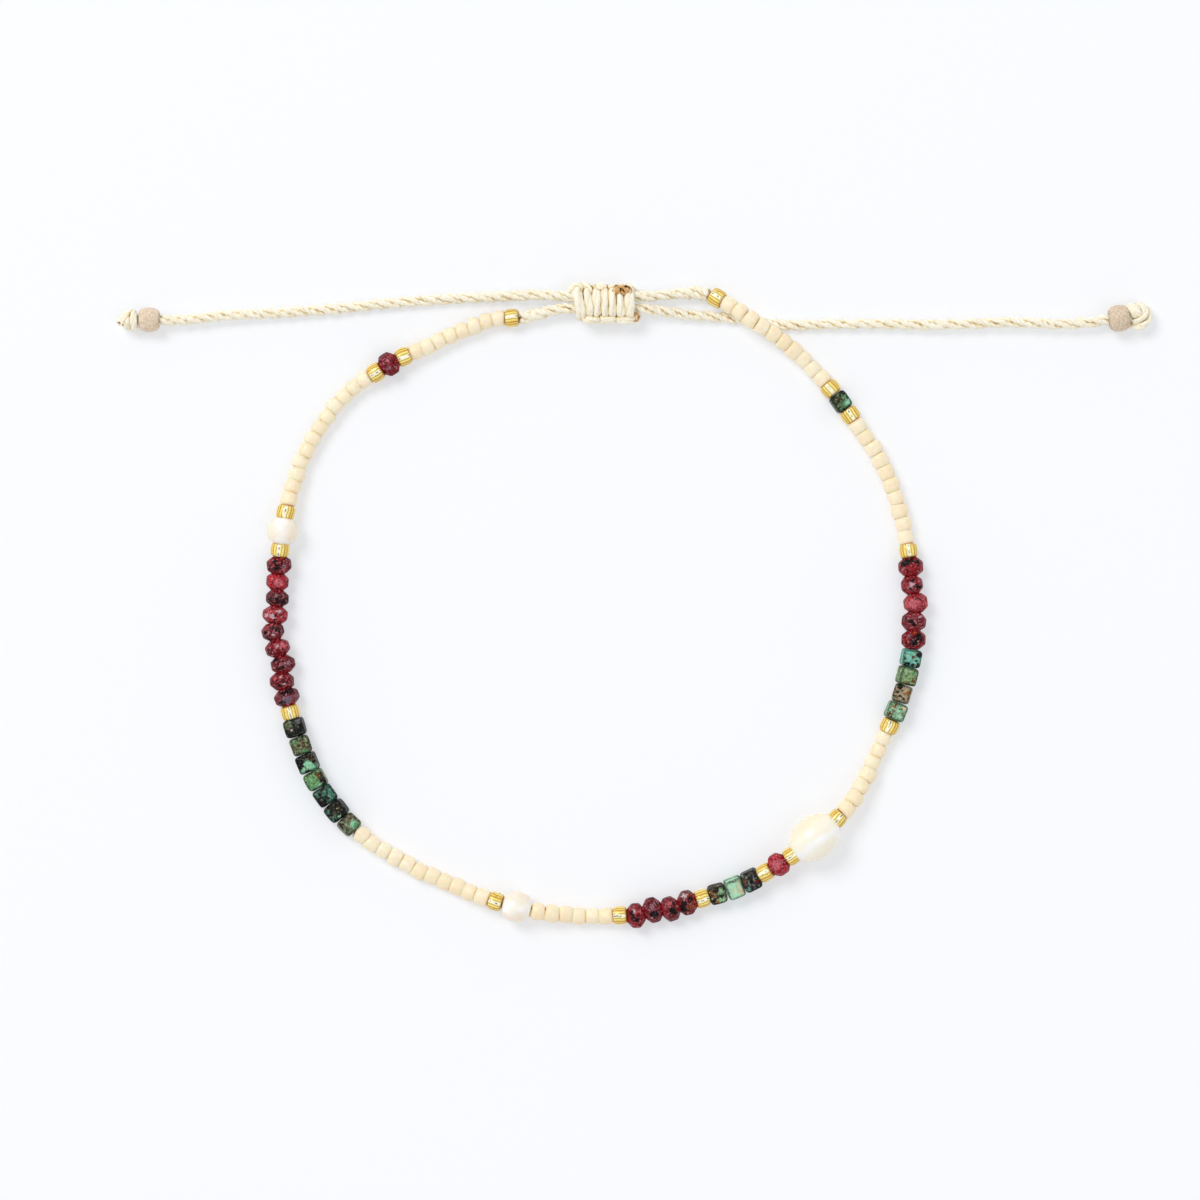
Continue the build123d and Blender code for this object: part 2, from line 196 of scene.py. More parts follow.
def strand_beads():
    """Every bead in order: its kind, row, place and length."""
    line = smooth_line(STRAND_ROUTE, 24)
    along = distances(line)
    stretch = along[-1] / sum(count * length for _, count, length in ROWS)
    shifts = iter(RUBY_SHIFTS)
    cubes = iter(zip(CUBE_SIDES, CUBE_ROLLS))
    beads = []
    start = 0.0
    for row, (kind, count, length) in enumerate(ROWS):
        for _ in range(count):
            side, roll = next(cubes) if kind == "turquoise" else (0, 0)
            beads.append({
                "kind": kind, "row": row, "from": start, "to": start + length * stretch,
                "shift": next(shifts) if kind == "ruby" else 0, "side": side, "roll": roll})
            start += length * stretch
    supports = [(bead["from"], bead["to"], rest_height(bead)) for bead in beads]
    crossing = along[-1] - CROSSING_BACK
    supports.append((crossing, crossing, CROSSING_HEIGHT))

    def joint(distance):
        height = max(top - fall(max(low - distance, distance - high))
                     for low, high, top in supports)
        return Vector((*point_at(line, along, distance), height))

    for bead in beads:
        start, end = joint(bead["from"]), joint(bead["to"])
        bead["length"] = (end - start).length - BEAD_GAP
        aside = Matrix.Translation((bead["shift"], 0, 0))
        roll = Matrix.Rotation(math.radians(bead["roll"]), 4, "Z")
        bead["place"] = turned_to((start + end) / 2, end - start) @ aside @ roll
    return beads


# ---- making meshes ----
class Shape:
    """Vertices and faces of one piece in millimetres, with named values for each vertex.

    Strands lists the cords' strands in it, and wraps counts a knot's stretches of cord.
    """

    def __init__(self):
        self.points = []
        self.faces = []
        self.values = {}
        self.strands = []
        self.wraps = 0

    def add(self, points, faces, place=Matrix(), **values):
        """Add a closed shape. Each value is a list with one entry for each of its points."""
        first = len(self.points)
        self.points += [place @ Vector(point) for point in points]
        self.faces += [tuple(first + corner for corner in face) for face in faces]
        for name, each in values.items():
            self.values.setdefault(name, []).extend(each)

    def piece(self, node, materials, slot):
        """Make the piece that stands for a node of the frame."""
        name = f"{node}_look"
        mesh = bpy.data.meshes.new(name)
        mesh.from_pydata([point * MM for point in self.points], [], self.faces)
        for value_name, each in self.values.items():
            write_values(mesh, value_name, each)
        mesh.polygons.foreach_set("use_smooth", [True] * len(mesh.polygons))
        mesh.materials.append(materials[slot])
        mesh.update()
        made = bpy.data.objects.new(name, mesh)
        bpy.context.collection.objects.link(made)
        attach(made, "root")
        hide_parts(node)
        return made


def write_values(mesh, name, each):
    """Store one number or one vector for each vertex of a mesh."""
    if isinstance(each[0], (int, float)):
        mesh.attributes.new(name, "FLOAT", "POINT").data.foreach_set("value", each)
    else:
        flat = [number for value in each for number in value]
        mesh.attributes.new(name, "FLOAT_VECTOR", "POINT").data.foreach_set("vector", flat)


def ring_faces(rings, sides, closed=False):
    """Faces between rings of vertices that follow each other."""
    faces = []
    for ring in range(rings if closed else rings - 1):
        here, there = ring * sides, (ring + 1) % rings * sides
        for side in range(sides):
            after = (side + 1) % sides
            faces.append((here + side, here + after, there + after, there + side))
    return faces


def drilled(surface, sides, rings, hole, length):
    """A bead with its hole: surface gives the outside radius and height for each angle."""
    points = []
    for ring in range(rings):
        for side in range(sides):
            turn = 2 * math.pi * side / sides
            radius, height = surface(turn, ring / (rings - 1))
            points.append((radius * math.cos(turn), radius * math.sin(turn), height))
    for height in (length / 2 - HOLE_RIM, HOLE_RIM - length / 2):
        for side in range(sides):
            turn = 2 * math.pi * side / sides
            points.append((hole / 2 * math.cos(turn), hole / 2 * math.sin(turn), height))
    return points, ring_faces(rings + 2, sides, closed=True)


def barrel(diameter, length, end_dia, squareness):
    """Outside of a round bead: full in the middle, with rounded rims and small flat ends."""
    def surface(turn, share):
        angle = math.pi * (share - 0.5)
        out = abs(math.cos(angle)) ** (2 / squareness)
        height = math.copysign(abs(math.sin(angle)) ** (2 / squareness), angle)
        return end_dia / 2 + (diameter - end_dia) / 2 * out, height * length / 2
    return surface


def cut_stone(planes, crispness, size, hole):
    """Outside of a stone cut by planes (normal, distance) in units of its half size."""
    first = math.atan2(hole / 2, size[2] / 2)

    def surface(turn, share):
        polar = math.pi - first - (math.pi - 2 * first) * share
        direction = Vector((math.sin(polar) * math.cos(turn), math.sin(polar) * math.sin(turn),
                            math.cos(polar)))
        total = sum((max(normal.dot(direction), 0) / far) ** crispness for normal, far in planes)
        reach = total ** (-1 / crispness)
        radius = reach * math.sin(polar) * size[0] / 2
        return radius, reach * math.cos(polar) * size[2] / 2
    return surface


def cube_planes():
    """The six sides of a cube."""
    axes = [Vector((1, 0, 0)), Vector((0, 1, 0)), Vector((0, 0, 1))]
    return [(axis * sign, 1.0) for axis in axes for sign in (-1, 1)]


def rondelle_planes(rng, sides=9):
    """Hand-cut facets: a girdle, a sloping ring on each side of it, and two flat ends."""
    planes = [(Vector((0, 0, 1)), 1.0), (Vector((0, 0, -1)), 1.0)]
    start = rng.random() * 6
    for side in range(sides):
        turn = start + 2 * math.pi * (side + rng.uniform(-0.2, 0.2)) / sides
        round_about = Vector((math.cos(turn), math.sin(turn), 0))
        planes.append((round_about, rng.uniform(0.95, 1.0)))
        for end in (-1, 1):
            lean = rng.uniform(0.75, 1.1)
            sloping = Vector((round_about.x, round_about.y, end * lean)).normalized()
            planes.append((sloping, rng.uniform(0.97, 1.06)))
    return planes


# ---- colours ----
def srgb(red, green, blue):
    """Linear colour from display values of 0 to 255."""
    def linear(value):
        value /= 255
        return value / 12.92 if value <= 0.04045 else ((value + 0.055) / 1.055) ** 2.4
    return Vector((linear(red), linear(green), linear(blue)))


def smooth_step(low, high, value):
    """0 below the low value, 1 above the high one, and a smooth step between them."""
    share = min(max((value - low) / (high - low), 0), 1)
    return share * share * (3 - 2 * share)


INK = srgb(22, 19, 21)
SOOT = srgb(42, 33, 35)
DEEP_RED = srgb(112, 10, 20)
RED = srgb(184, 36, 48)
# END_RED is painted light and shade: the saturated red at a round stone's ends, where beads meet.
END_RED = srgb(168, 20, 32)
# PINK and VEIL are partly pale stone and partly painted highlights.
PINK = srgb(196, 96, 106)
VEIL = srgb(198, 168, 172)
MAUVE = srgb(138, 96, 106)
BROWN = srgb(96, 62, 36)
ORANGE = srgb(160, 92, 34)
OLIVE = srgb(98, 104, 76)
GREEN = srgb(92, 152, 102)
TEAL = srgb(72, 124, 112)
FERN = srgb(144, 180, 138)
MINT = srgb(142, 202, 164)
PALE_MINT = srgb(172, 220, 188)
BEIGE = srgb(214, 192, 154)
GREY = srgb(108, 106, 108)

# Each stone bead's look: ground colour, second ground colour, and patches as (X, Y, size,
# colour) in units of the bead's half size, with X along the strand and Y towards the inside
# of the loop. Its pale pink and veil patches are partly the stone's own and partly painted
# highlights.
RUBY_LOOKS = [
    ((133, 35, 45), (106, 32, 39), [
        (0.7, 0.35, 0.16, INK), (0.2, 0.3, 0.12, MAUVE), (-0.15, -0.25, 0.14, PINK),
        (0.3, -0.5, 0.12, PINK)]),
    ((146, 50, 55), (117, 35, 43), [
        (-0.5, -0.2, 0.2, INK), (-0.2, -0.1, 0.12, INK), (0.05, 0.05, 0.2, INK),
        (0.2, -0.3, 0.18, INK), (0.0, -0.65, 0.16, SOOT), (0.0, 0.5, 0.2, MAUVE)]),
    ((181, 40, 52), (161, 34, 45), [
        (0.1, 0.15, 0.42, PINK), (0.85, -0.1, 0.3, INK), (-0.3, -0.45, 0.3, RED)]),
    ((112, 50, 54), (82, 30, 35), [
        (0.4, 0.65, 0.34, INK), (0.05, 0.1, 0.18, INK), (-0.3, -0.05, 0.2, MAUVE),
        (0.1, -0.5, 0.2, SOOT), (0.5, -0.1, 0.12, SOOT)]),
    ((182, 64, 72), (160, 46, 56), [
        (0.15, -0.15, 0.19, VEIL), (-0.25, 0.3, 0.13, VEIL), (0.45, 0.15, 0.12, INK),
        (0.0, 0.05, 0.09, INK), (0.2, -0.7, 0.16, VEIL), (0.85, -0.2, 0.2, INK)]),
    ((144, 64, 70), (112, 46, 52), [
        (0.0, 0.5, 0.26, INK), (0.5, -0.5, 0.22, INK), (-0.1, -0.6, 0.16, INK),
        (0.25, 0.05, 0.14, VEIL), (-0.35, 0.05, 0.14, SOOT)]),
    ((156, 52, 60), (130, 37, 45), [
        (0.0, 0.6, 0.26, PINK), (0.4, 0.0, 0.3, DEEP_RED), (-0.6, -0.1, 0.2, DEEP_RED),
        (0.1, -0.65, 0.2, SOOT), (-0.15, 0.05, 0.08, VEIL)]),
    ((137, 54, 62), (106, 38, 45), [
        (-0.5, -0.5, 0.28, INK), (0.3, -0.3, 0.15, INK), (0.1, 0.05, 0.12, INK),
        (0.0, 0.55, 0.24, MAUVE), (0.6, 0.1, 0.16, DEEP_RED)]),
    ((146, 46, 48), (118, 35, 40), [
        (0.0, 0.1, 0.16, INK), (0.2, 0.3, 0.07, VEIL), (-0.4, 0.0, 0.08, VEIL),
        (0.3, -0.1, 0.12, INK), (0.55, -0.45, 0.16, SOOT), (-0.2, -0.45, 0.12, PINK)]),
    ((132, 58, 66), (112, 48, 56), [
        (0.25, 0.0, 0.38, srgb(118, 98, 112)), (-0.5, 0.45, 0.4, INK),
        (-0.45, -0.1, 0.3, INK), (0.35, -0.5, 0.24, INK), (0.15, 0.7, 0.2, MAUVE)]),
    ((153, 48, 56), (128, 35, 43), [
        (-0.15, 0.5, 0.14, VEIL), (-0.5, 0.25, 0.22, INK), (-0.3, -0.02, 0.18, INK),
        (0.05, -0.25, 0.2, INK), (0.35, 0.35, 0.18, PINK)]),
    ((138, 56, 62), (108, 37, 44), [
        (0.1, -0.35, 0.26, INK), (-0.2, -0.2, 0.16, INK), (0.0, 0.3, 0.22, MAUVE),
        (0.45, 0.5, 0.14, SOOT)]),
    ((146, 54, 60), (116, 37, 45), [
        (0.05, -0.1, 0.24, INK), (0.25, -0.35, 0.22, INK), (0.4, 0.35, 0.14, SOOT),
        (0.0, 0.5, 0.18, PINK)]),
    ((134, 50, 48), (108, 38, 36), [
        (0.25, -0.3, 0.3, srgb(134, 66, 36)), (-0.15, 0.6, 0.24, VEIL),
        (0.35, 0.3, 0.24, INK), (-0.45, -0.4, 0.36, INK), (-0.25, 0.05, 0.2, INK)]),
    ((190, 56, 70), (178, 46, 60), [(0.0, 0.15, 0.45, PINK), (0.3, -0.6, 0.2, RED)]),
    ((150, 38, 44), (122, 29, 35), [
        (-0.15, 0.05, 0.34, INK), (0.25, -0.3, 0.32, INK), (0.0, -0.6, 0.16, INK),
        (0.7, 0.0, 0.16, ORANGE), (0.3, 0.5, 0.16, MAUVE)]),
    ((146, 58, 64), (114, 38, 46), [
        (0.0, 0.25, 0.22, INK), (-0.2, -0.1, 0.16, INK), (0.4, -0.4, 0.14, VEIL),
        (0.1, 0.7, 0.14, SOOT)]),
    ((190, 78, 84), (178, 64, 72), [
        (0.3, -0.35, 0.11, INK), (-0.1, 0.3, 0.4, PINK), (0.6, 0.2, 0.1, DEEP_RED)]),
    ((158, 58, 66), (134, 42, 50), [
        (0.0, 0.1, 0.2, VEIL), (-0.2, -0.5, 0.28, INK), (0.5, -0.1, 0.18, INK),
        (0.5, 0.35, 0.14, INK), (-0.35, 0.2, 0.12, INK)]),
    ((163, 38, 46), (138, 30, 38), [
        (0.4, 0.5, 0.46, INK), (0.6, 0.0, 0.42, INK), (0.45, -0.5, 0.28, INK),
        (-0.1, 0.65, 0.14, MAUVE)]),
]

# Width of each rondelle compared with the usual one, and how far it leans over, in degrees.
RUBY_CUTS = [
    (1.0, 3), (1.05, 12), (0.94, 0), (0.94, 0), (1.05, -8), (0.95, 12), (1.05, 12), (1.05, 3),
    (1.03, -9), (1.05, 8), (1.03, -5), (1.05, 4), (1.02, 6), (1.05, -4), (1.0, 2), (1.04, 5),
    (1.05, -6), (1.03, 3), (0.92, 4), (1.03, -5),
]

TURQUOISE_LOOKS = [
    ((30, 32, 31), (50, 50, 48), [
        (-0.5, -0.6, 0.4, OLIVE), (0.1, -0.25, 0.1, VEIL), (-0.55, 0.6, 0.2, GREY)]),
    ((128, 122, 90), (104, 114, 84), [
        (-0.3, 0.25, 0.22, BROWN), (0.3, 0.2, 0.18, BROWN), (-0.1, -0.4, 0.14, BROWN),
        (0.75, 0.1, 0.26, GREEN), (-0.6, -0.6, 0.2, GREEN)]),
    ((64, 58, 44), (44, 40, 34), [
        (0.0, 0.1, 0.38, MINT), (0.3, 0.25, 0.26, MINT), (0.7, 0.65, 0.34, MINT),
        (-0.45, -0.55, 0.34, INK), (0.15, -0.6, 0.24, INK), (0.62, -0.6, 0.24, MINT),
        (-0.3, 0.6, 0.16, BROWN)]),
    ((104, 160, 106), (116, 166, 108), [
        (-0.25, 0.72, 0.3, BROWN), (0.1, 0.62, 0.18, BROWN), (0.45, 0.8, 0.3, SOOT),
        (0.75, 0.2, 0.16, MINT), (-0.7, -0.2, 0.16, OLIVE)]),
    ((74, 126, 106), (54, 92, 78), [
        (-0.75, 0.1, 0.2, INK), (0.55, -0.65, 0.4, INK), (0.1, -0.75, 0.3, SOOT),
        (0.2, 0.05, 0.16, SOOT), (-0.3, -0.35, 0.12, SOOT), (0.1, 0.6, 0.3, TEAL)]),
    ((32, 34, 30), (48, 44, 38), [
        (0.62, 0.08, 0.09, MINT), (-0.35, -0.55, 0.14, TEAL), (0.3, -0.3, 0.1, OLIVE),
        (-0.1, 0.45, 0.12, BROWN), (0.5, -0.6, 0.1, TEAL)]),
    ((132, 124, 98), (116, 116, 88), [
        (0.35, 0.15, 0.36, MINT), (0.65, 0.35, 0.26, GREEN), (-0.5, -0.75, 0.16, SOOT),
        (0.5, -0.5, 0.2, OLIVE)]),
    ((92, 64, 38), (58, 44, 34), [
        (0.45, 0.35, 0.36, FERN), (0.3, -0.5, 0.38, FERN), (0.7, -0.1, 0.36, FERN),
        (-0.3, 0.0, 0.14, ORANGE), (-0.2, -0.6, 0.12, ORANGE), (-0.5, 0.5, 0.12, ORANGE),
        (0.4, -0.12, 0.22, INK), (0.15, 0.7, 0.16, SOOT)]),
    ((178, 225, 190), (170, 217, 181), [
        (0.5, 0.55, 0.14, BEIGE), (0.48, 0.2, 0.16, BEIGE), (0.5, -0.15, 0.16, BEIGE),
        (0.2, -0.05, 0.12, BEIGE), (0.55, -0.5, 0.14, BEIGE), (-0.2, 0.0, 0.08, BEIGE)]),
    ((84, 74, 76), (56, 50, 52), [
        (0.1, 0.1, 0.14, INK), (0.8, -0.25, 0.18, DEEP_RED), (-0.6, 0.4, 0.14, BROWN),
        (-0.6, -0.55, 0.16, TEAL), (0.3, -0.5, 0.12, INK)]),
    ((138, 180, 138), (156, 196, 160), [
        (-0.6, 0.75, 0.26, BROWN), (0.4, 0.4, 0.16, ORANGE), (0.65, 0.35, 0.18, BROWN),
        (-0.1, 0.3, 0.16, OLIVE), (0.1, -0.2, 0.16, PALE_MINT), (-0.4, -0.4, 0.12, PALE_MINT),
        (0.5, -0.5, 0.14, BEIGE), (-0.1, -0.6, 0.08, SOOT), (0.3, -0.3, 0.08, SOOT)]),
    ((198, 176, 142), (170, 148, 116), [
        (-0.35, 0.1, 0.13, INK), (0.05, -0.2, 0.1, INK), (0.65, 0.4, 0.3, INK),
        (0.1, 0.6, 0.14, OLIVE), (0.2, -0.65, 0.2, ORANGE), (-0.5, 0.6, 0.14, SOOT),
        (0.3, 0.05, 0.1, SOOT), (-0.5, -0.35, 0.1, SOOT), (-0.1, 0.45, 0.09, INK)]),
    ((142, 172, 116), (130, 160, 108), [
        (-0.45, -0.7, 0.26, BROWN), (-0.9, 0.0, 0.2, DEEP_RED), (0.0, 0.7, 0.18, FERN),
        (0.5, 0.65, 0.18, FERN), (0.55, -0.4, 0.2, GREEN)]),
    ((110, 200, 182), (128, 192, 170), [
        (-0.7, 0.6, 0.26, INK), (-0.65, -0.15, 0.14, INK), (-0.65, -0.65, 0.24, INK),
        (0.1, -0.05, 0.14, BROWN), (0.35, -0.3, 0.14, BROWN), (0.6, -0.6, 0.3, SOOT),
        (0.2, 0.5, 0.1, BEIGE), (-0.1, 0.75, 0.14, INK), (-0.15, -0.35, 0.1, INK)]),
    ((44, 50, 38), (78, 98, 68), [
        (-0.6, -0.1, 0.3, GREEN), (-0.45, -0.6, 0.3, MINT), (-0.3, 0.35, 0.16, OLIVE),
        (0.1, -0.65, 0.14, GREEN), (0.4, 0.3, 0.14, BROWN)]),
]


def stone_colours(points, reach, look, seed, flat):
    """Colour of each point of a stone bead from its ground colours and its patches.

    The points are local to the bead; its patches are charted on a flat or a round top. Round
    stones are redder towards their ends, painted light and shade where the beads meet, and every
    stone is darker on its sides, away from its top and bottom, as painted shade.
    """
    ground, second, patches = look
    ground, second = srgb(*ground), srgb(*second)
    spots = []
    for x, y, size, colour in patches:
        up = 1.0 if flat else math.sqrt(max(1 - x * x - y * y, 0.04))
        spots.append((Vector((x, y, up)).normalized(), size, colour))
    shift = Vector((seed * 3.7, seed * 1.9, seed * 2.3))
    paleness = smooth_step(0.3, 0.55, ground.y)
    colours = []
    for left, up, along in points:
        offset = Vector((along, left, up)) / reach
        away = Vector((offset.x, offset.y, abs(offset.z))).normalized()
        waves = noise.noise(offset * 2.2 + shift)
        ripples = noise.noise(offset * 6 + shift)
        grit = noise.noise(offset * 4.6 - shift)
        ragged = noise.noise(offset * 11 - shift)
        colour = ground.lerp(second, smooth_step(-0.15, 0.2, waves + 0.7 * ripples))
        gritty = 0.85 * smooth_step(0.18, 0.26, grit + 0.35 * ripples)
        colour = colour.lerp(second * 0.25, gritty * (1 - 0.9 * paleness))
        if not flat:
            # Painted light and shade: a saturated red towards the ends, where the beads meet.
            colour = colour.lerp(END_RED, 0.6 * smooth_step(0.42, 0.72, abs(away.x)))
        for spot, size, paint in spots:
            far = (away - spot).length + 0.12 * waves + 0.2 * ripples + 0.12 * ragged
            colour = colour.lerp(paint, 1 - smooth_step(size * 0.85, size * 1.03 + 0.03, far))
        # Painted shade: each stone is darker on its sides, away from its top and bottom.
        colours.append(colour * (0.45 + 0.55 * smooth_step(0.08, 0.5, away.z)))
    return colours


# ---- materials ----
class Nodes:
    """A material's shader nodes, joined one call at a time."""

    def __init__(self, name, roughness, **inputs):
        self.material = bpy.data.materials.new(name)
        self.material.use_nodes = True
        self.tree = self.material.node_tree
        self.shader = self.tree.nodes["Principled BSDF"]
        self.shader.inputs["Roughness"].default_value = roughness
        for socket, value in inputs.items():
            self.shader.inputs[socket.replace("_", " ")].default_value = value

    def node(self, kind, links=None, **settings):
        """A new node, with an output or a value put into each of its named sockets."""
        made = self.tree.nodes.new(kind)
        for name, value in settings.items():
            setattr(made, name, value)
        for socket, value in (links or {}).items():
            self.put(made.inputs[socket], value)
        return made

    def put(self, socket, value):
        """Link an output to a socket, or set its value."""
        if isinstance(value, bpy.types.NodeSocket):
            self.tree.links.new(value, socket)
        elif isinstance(value, Vector) and socket.type == "RGBA":
            socket.default_value = (*value, 1)
        else:
            socket.default_value = value

    def attribute(self, name, output="Vector"):
        return self.node("ShaderNodeAttribute", attribute_name=name).outputs[output]

    def place(self):
        """Position on the object in metres."""
        return self.node("ShaderNodeTexCoord").outputs["Object"]

    def stretched(self, vector, scale):
        """A vector scaled along each axis, so that a pattern on it is drawn out."""
        links = {"Vector": vector, "Scale": scale}
        return self.node("ShaderNodeMapping", links).outputs["Vector"]

    def clouds(self, vector, scale, detail=3.0, roughness=0.5):
        """Soft noise of 0 to 1; the scale counts its blots in one unit of the vector."""
        links = {"Vector": vector, "Scale": scale, "Detail": detail, "Roughness": roughness}
        return self.node("ShaderNodeTexNoise", links).outputs["Fac"]

    def steps(self, value, low, high, bottom=0.0, top=1.0):
        """Value mapped from one range to another, smoothly and within it."""
        links = {"Value": value, "From Min": low, "From Max": high, "To Min": bottom,
                 "To Max": top}
        made = self.node("ShaderNodeMapRange", links, interpolation_type="SMOOTHSTEP")
        return made.outputs["Result"]

    def math(self, operation, first, second=0.0):
        return self.node("ShaderNodeMath", {0: first, 1: second}, operation=operation).outputs[0]

    def mix(self, share, first, second, blend="MIX"):
        """Blend two colours, which a mix node takes in at 6 and 7 and gives out at 2."""
        made = self.node("ShaderNodeMix", data_type="RGBA", blend_type=blend)
        self.put(made.inputs["Factor"], share)
        self.put(made.inputs[6], first)
        self.put(made.inputs[7], second)
        return made.outputs[2]

    def colour(self, value):
        self.put(self.shader.inputs["Base Color"], value)

    def bump(self, height, distance, strength=1.0):
        links = {"Height": height, "Distance": distance, "Strength": strength}
        self.put(self.shader.inputs["Normal"], self.node("ShaderNodeBump", links).outputs[0])


def stone_material(name, grain, flecked, pale_fleck):
    """Painted stone with fine dark grains and pale flecks, fewer where it is pale or black."""
    nodes = Nodes(name, 0.36, Specular_IOR_Level=0.07)
    paint = nodes.attribute("paint")
    bright = nodes.attribute("paint", "Fac")
    grains = nodes.steps(nodes.clouds(nodes.place(), 4200, 4.0, 0.65), 0.49, 0.44)
    share = nodes.math("MULTIPLY", grains, nodes.steps(bright, 0.28, 0.6, grain, 0.25 * grain))
    shaded = nodes.mix(1.0, paint, Vector((0.14, 0.1, 0.1)), "MULTIPLY")
    dark = nodes.mix(share, paint, shaded)
    clouds = nodes.clouds(nodes.place(), 3300, 5.0, 0.7)
    flecks = nodes.steps(clouds, 0.56, 0.61, 0, flecked)
    flecks = nodes.math("MULTIPLY", flecks, nodes.steps(bright, 0.3, 0.6, 1.0, 0.3))
    flecks = nodes.math("MULTIPLY", flecks, nodes.steps(bright, 0.008, 0.05, 0.3, 1.0))
    nodes.colour(nodes.mix(flecks, dark, pale_fleck))
    nodes.bump(clouds, 0.00005, 0.5)
    return nodes.material


def cream_material():
    """Opaque bone-coloured glass with a satin surface."""
    nodes = Nodes("cream_glass", 0.4, Subsurface_Weight=0.25, Subsurface_Scale=0.0006)
    paint = nodes.attribute("paint")
    clouds = nodes.clouds(nodes.place(), 1400, 3.0)
    nodes.colour(nodes.mix(nodes.steps(clouds, 0.35, 0.7, 0, 0.5), paint, srgb(248, 226, 188)))
    nodes.bump(nodes.clouds(nodes.place(), 2200), 0.00003, 0.5)
    return nodes.material


def gold_material():
    """Amber glass lined with bright metal, which shows as bands along each bead, painted as
    reflections and highlights.
    """
    nodes = Nodes("gold_glass", 0.16, Specular_IOR_Level=0.4, Coat_Weight=0.3,
                  Coat_Roughness=0.08)
    paint = nodes.attribute("paint")
    specks = nodes.clouds(nodes.place(), 3600, 3.0, 0.6)
    nodes.colour(nodes.mix(nodes.steps(specks, 0.4, 0.32, 0, 0.6), paint, srgb(120, 80, 20)))
    return nodes.material


def pearl_material(name):
    """Soft nacre."""
    nodes = Nodes(name, 0.24, Coat_Weight=0.3, Coat_Roughness=0.1, Subsurface_Weight=0.2,
                  Subsurface_Scale=0.001)
    paint = nodes.attribute("paint")
    clouds = nodes.clouds(nodes.place(), 520, 3.0)
    nodes.colour(nodes.mix(nodes.steps(clouds, 0.4, 0.65, 0, 0.2), paint, srgb(252, 240, 220)))
    nodes.bump(nodes.clouds(nodes.place(), 600, 2.0), 0.00005, 0.25)
    return nodes.material


def wood_material():
    """Pale turned wood with fine rings across the bead."""
    nodes = Nodes("pale_wood", 0.55, Specular_IOR_Level=0.35)
    lay = nodes.attribute("lay")
    lines = nodes.clouds(nodes.stretched(lay, (5.5, 1.3, 1.3)), 2.2, 4.0, 0.6)
    pores = nodes.clouds(lay, 7.0, 2.0)
    base = nodes.mix(nodes.steps(lines, 0.4, 0.62), srgb(216, 190, 160), srgb(246, 230, 208))
    base = nodes.mix(nodes.steps(pores, 0.42, 0.3, 0, 0.6), base, srgb(186, 152, 116))
    # The dark value holds the painted shade round the hole as well as the darker ends and tone.
    dark = nodes.attribute("dark", "Fac")
    nodes.colour(nodes.mix(dark, base, srgb(92, 66, 44)))
    nodes.bump(lines, 0.00004, 0.5)
    return nodes.material


def cord_material():
    """Waxed cord: fibres and thin plies along the cord, brown painted shade in its grooves, burnt
    at the ends.
    """
    nodes = Nodes("waxed_cord", 0.62, Specular_IOR_Level=0.25)
    lay = nodes.attribute("lay")
    fibres = nodes.clouds(nodes.stretched(lay, (0.5, 5.0, 1.0)), 1.8, 4.0, 0.6)
    shade = nodes.mix(nodes.steps(fibres, 0.35, 0.65), srgb(254, 244, 217), srgb(255, 253, 240))
    plies = nodes.clouds(nodes.stretched(lay, (0.32, 2.6, 1.0)), 1.5, 1.0)
    ply_line = nodes.math("ABSOLUTE", nodes.math("SUBTRACT", plies, 0.5))
    shade = nodes.mix(nodes.steps(ply_line, 0.028, 0.0, 0, 0.7), shade, srgb(226, 200, 148))
    # Painted shade: brown in the grooves and creases, darkest brown in the pits.
    groove = nodes.attribute("groove", "Fac")
    deep = nodes.mix(nodes.steps(groove, 0.0, 1.0), shade, srgb(231, 209, 160))
    pit = nodes.mix(nodes.steps(groove, 1.0, 1.9), deep, srgb(104, 72, 32))
    burn = nodes.attribute("burn", "Fac")
    amber = nodes.mix(nodes.steps(burn, 0.0, 0.5), pit, srgb(208, 156, 88))
    nodes.colour(nodes.mix(nodes.steps(burn, 0.5, 0.85), amber, srgb(66, 30, 6)))
    nodes.bump(fibres, 0.00008, 0.8)
    return nodes.material


# ---- beads ----
def cream_bead(bead, rng, shape):
    """Seed bead: no two are alike, and some are longer on one side."""
    width = CREAM_DIA * rng.uniform(0.95, 1.09)
    length = bead["length"] * rng.uniform(1.04, 1.12)
    surface = barrel(width, length, 1.0, rng.uniform(2.35, 3.1))
    points, faces = drilled(surface, 32, 17, HOLE_DIA, length)
    wedge = rng.uniform(-0.13, 0.13)
    points = [(x, y, z * (1 + wedge * x)) for x, y, z in points]
    lean = Matrix.Rotation(math.radians(rng.uniform(-8, 8)), 4, "Y")
    aside = Matrix.Translation((rng.uniform(-0.09, 0.09), 0, 0))
    base = srgb(254, 241, 214).lerp(srgb(253, 232, 196), rng.random())
    # Painted shade: darker towards the ends, where the beads meet.
    rim_shade = srgb(246, 224, 180)
    paint = [base.lerp(rim_shade, smooth_step(0.76, 0.98, abs(z) * 2 / length)) for _, _, z in points]
    shape.add(points, faces, bead["place"] @ aside @ lean, paint=paint)


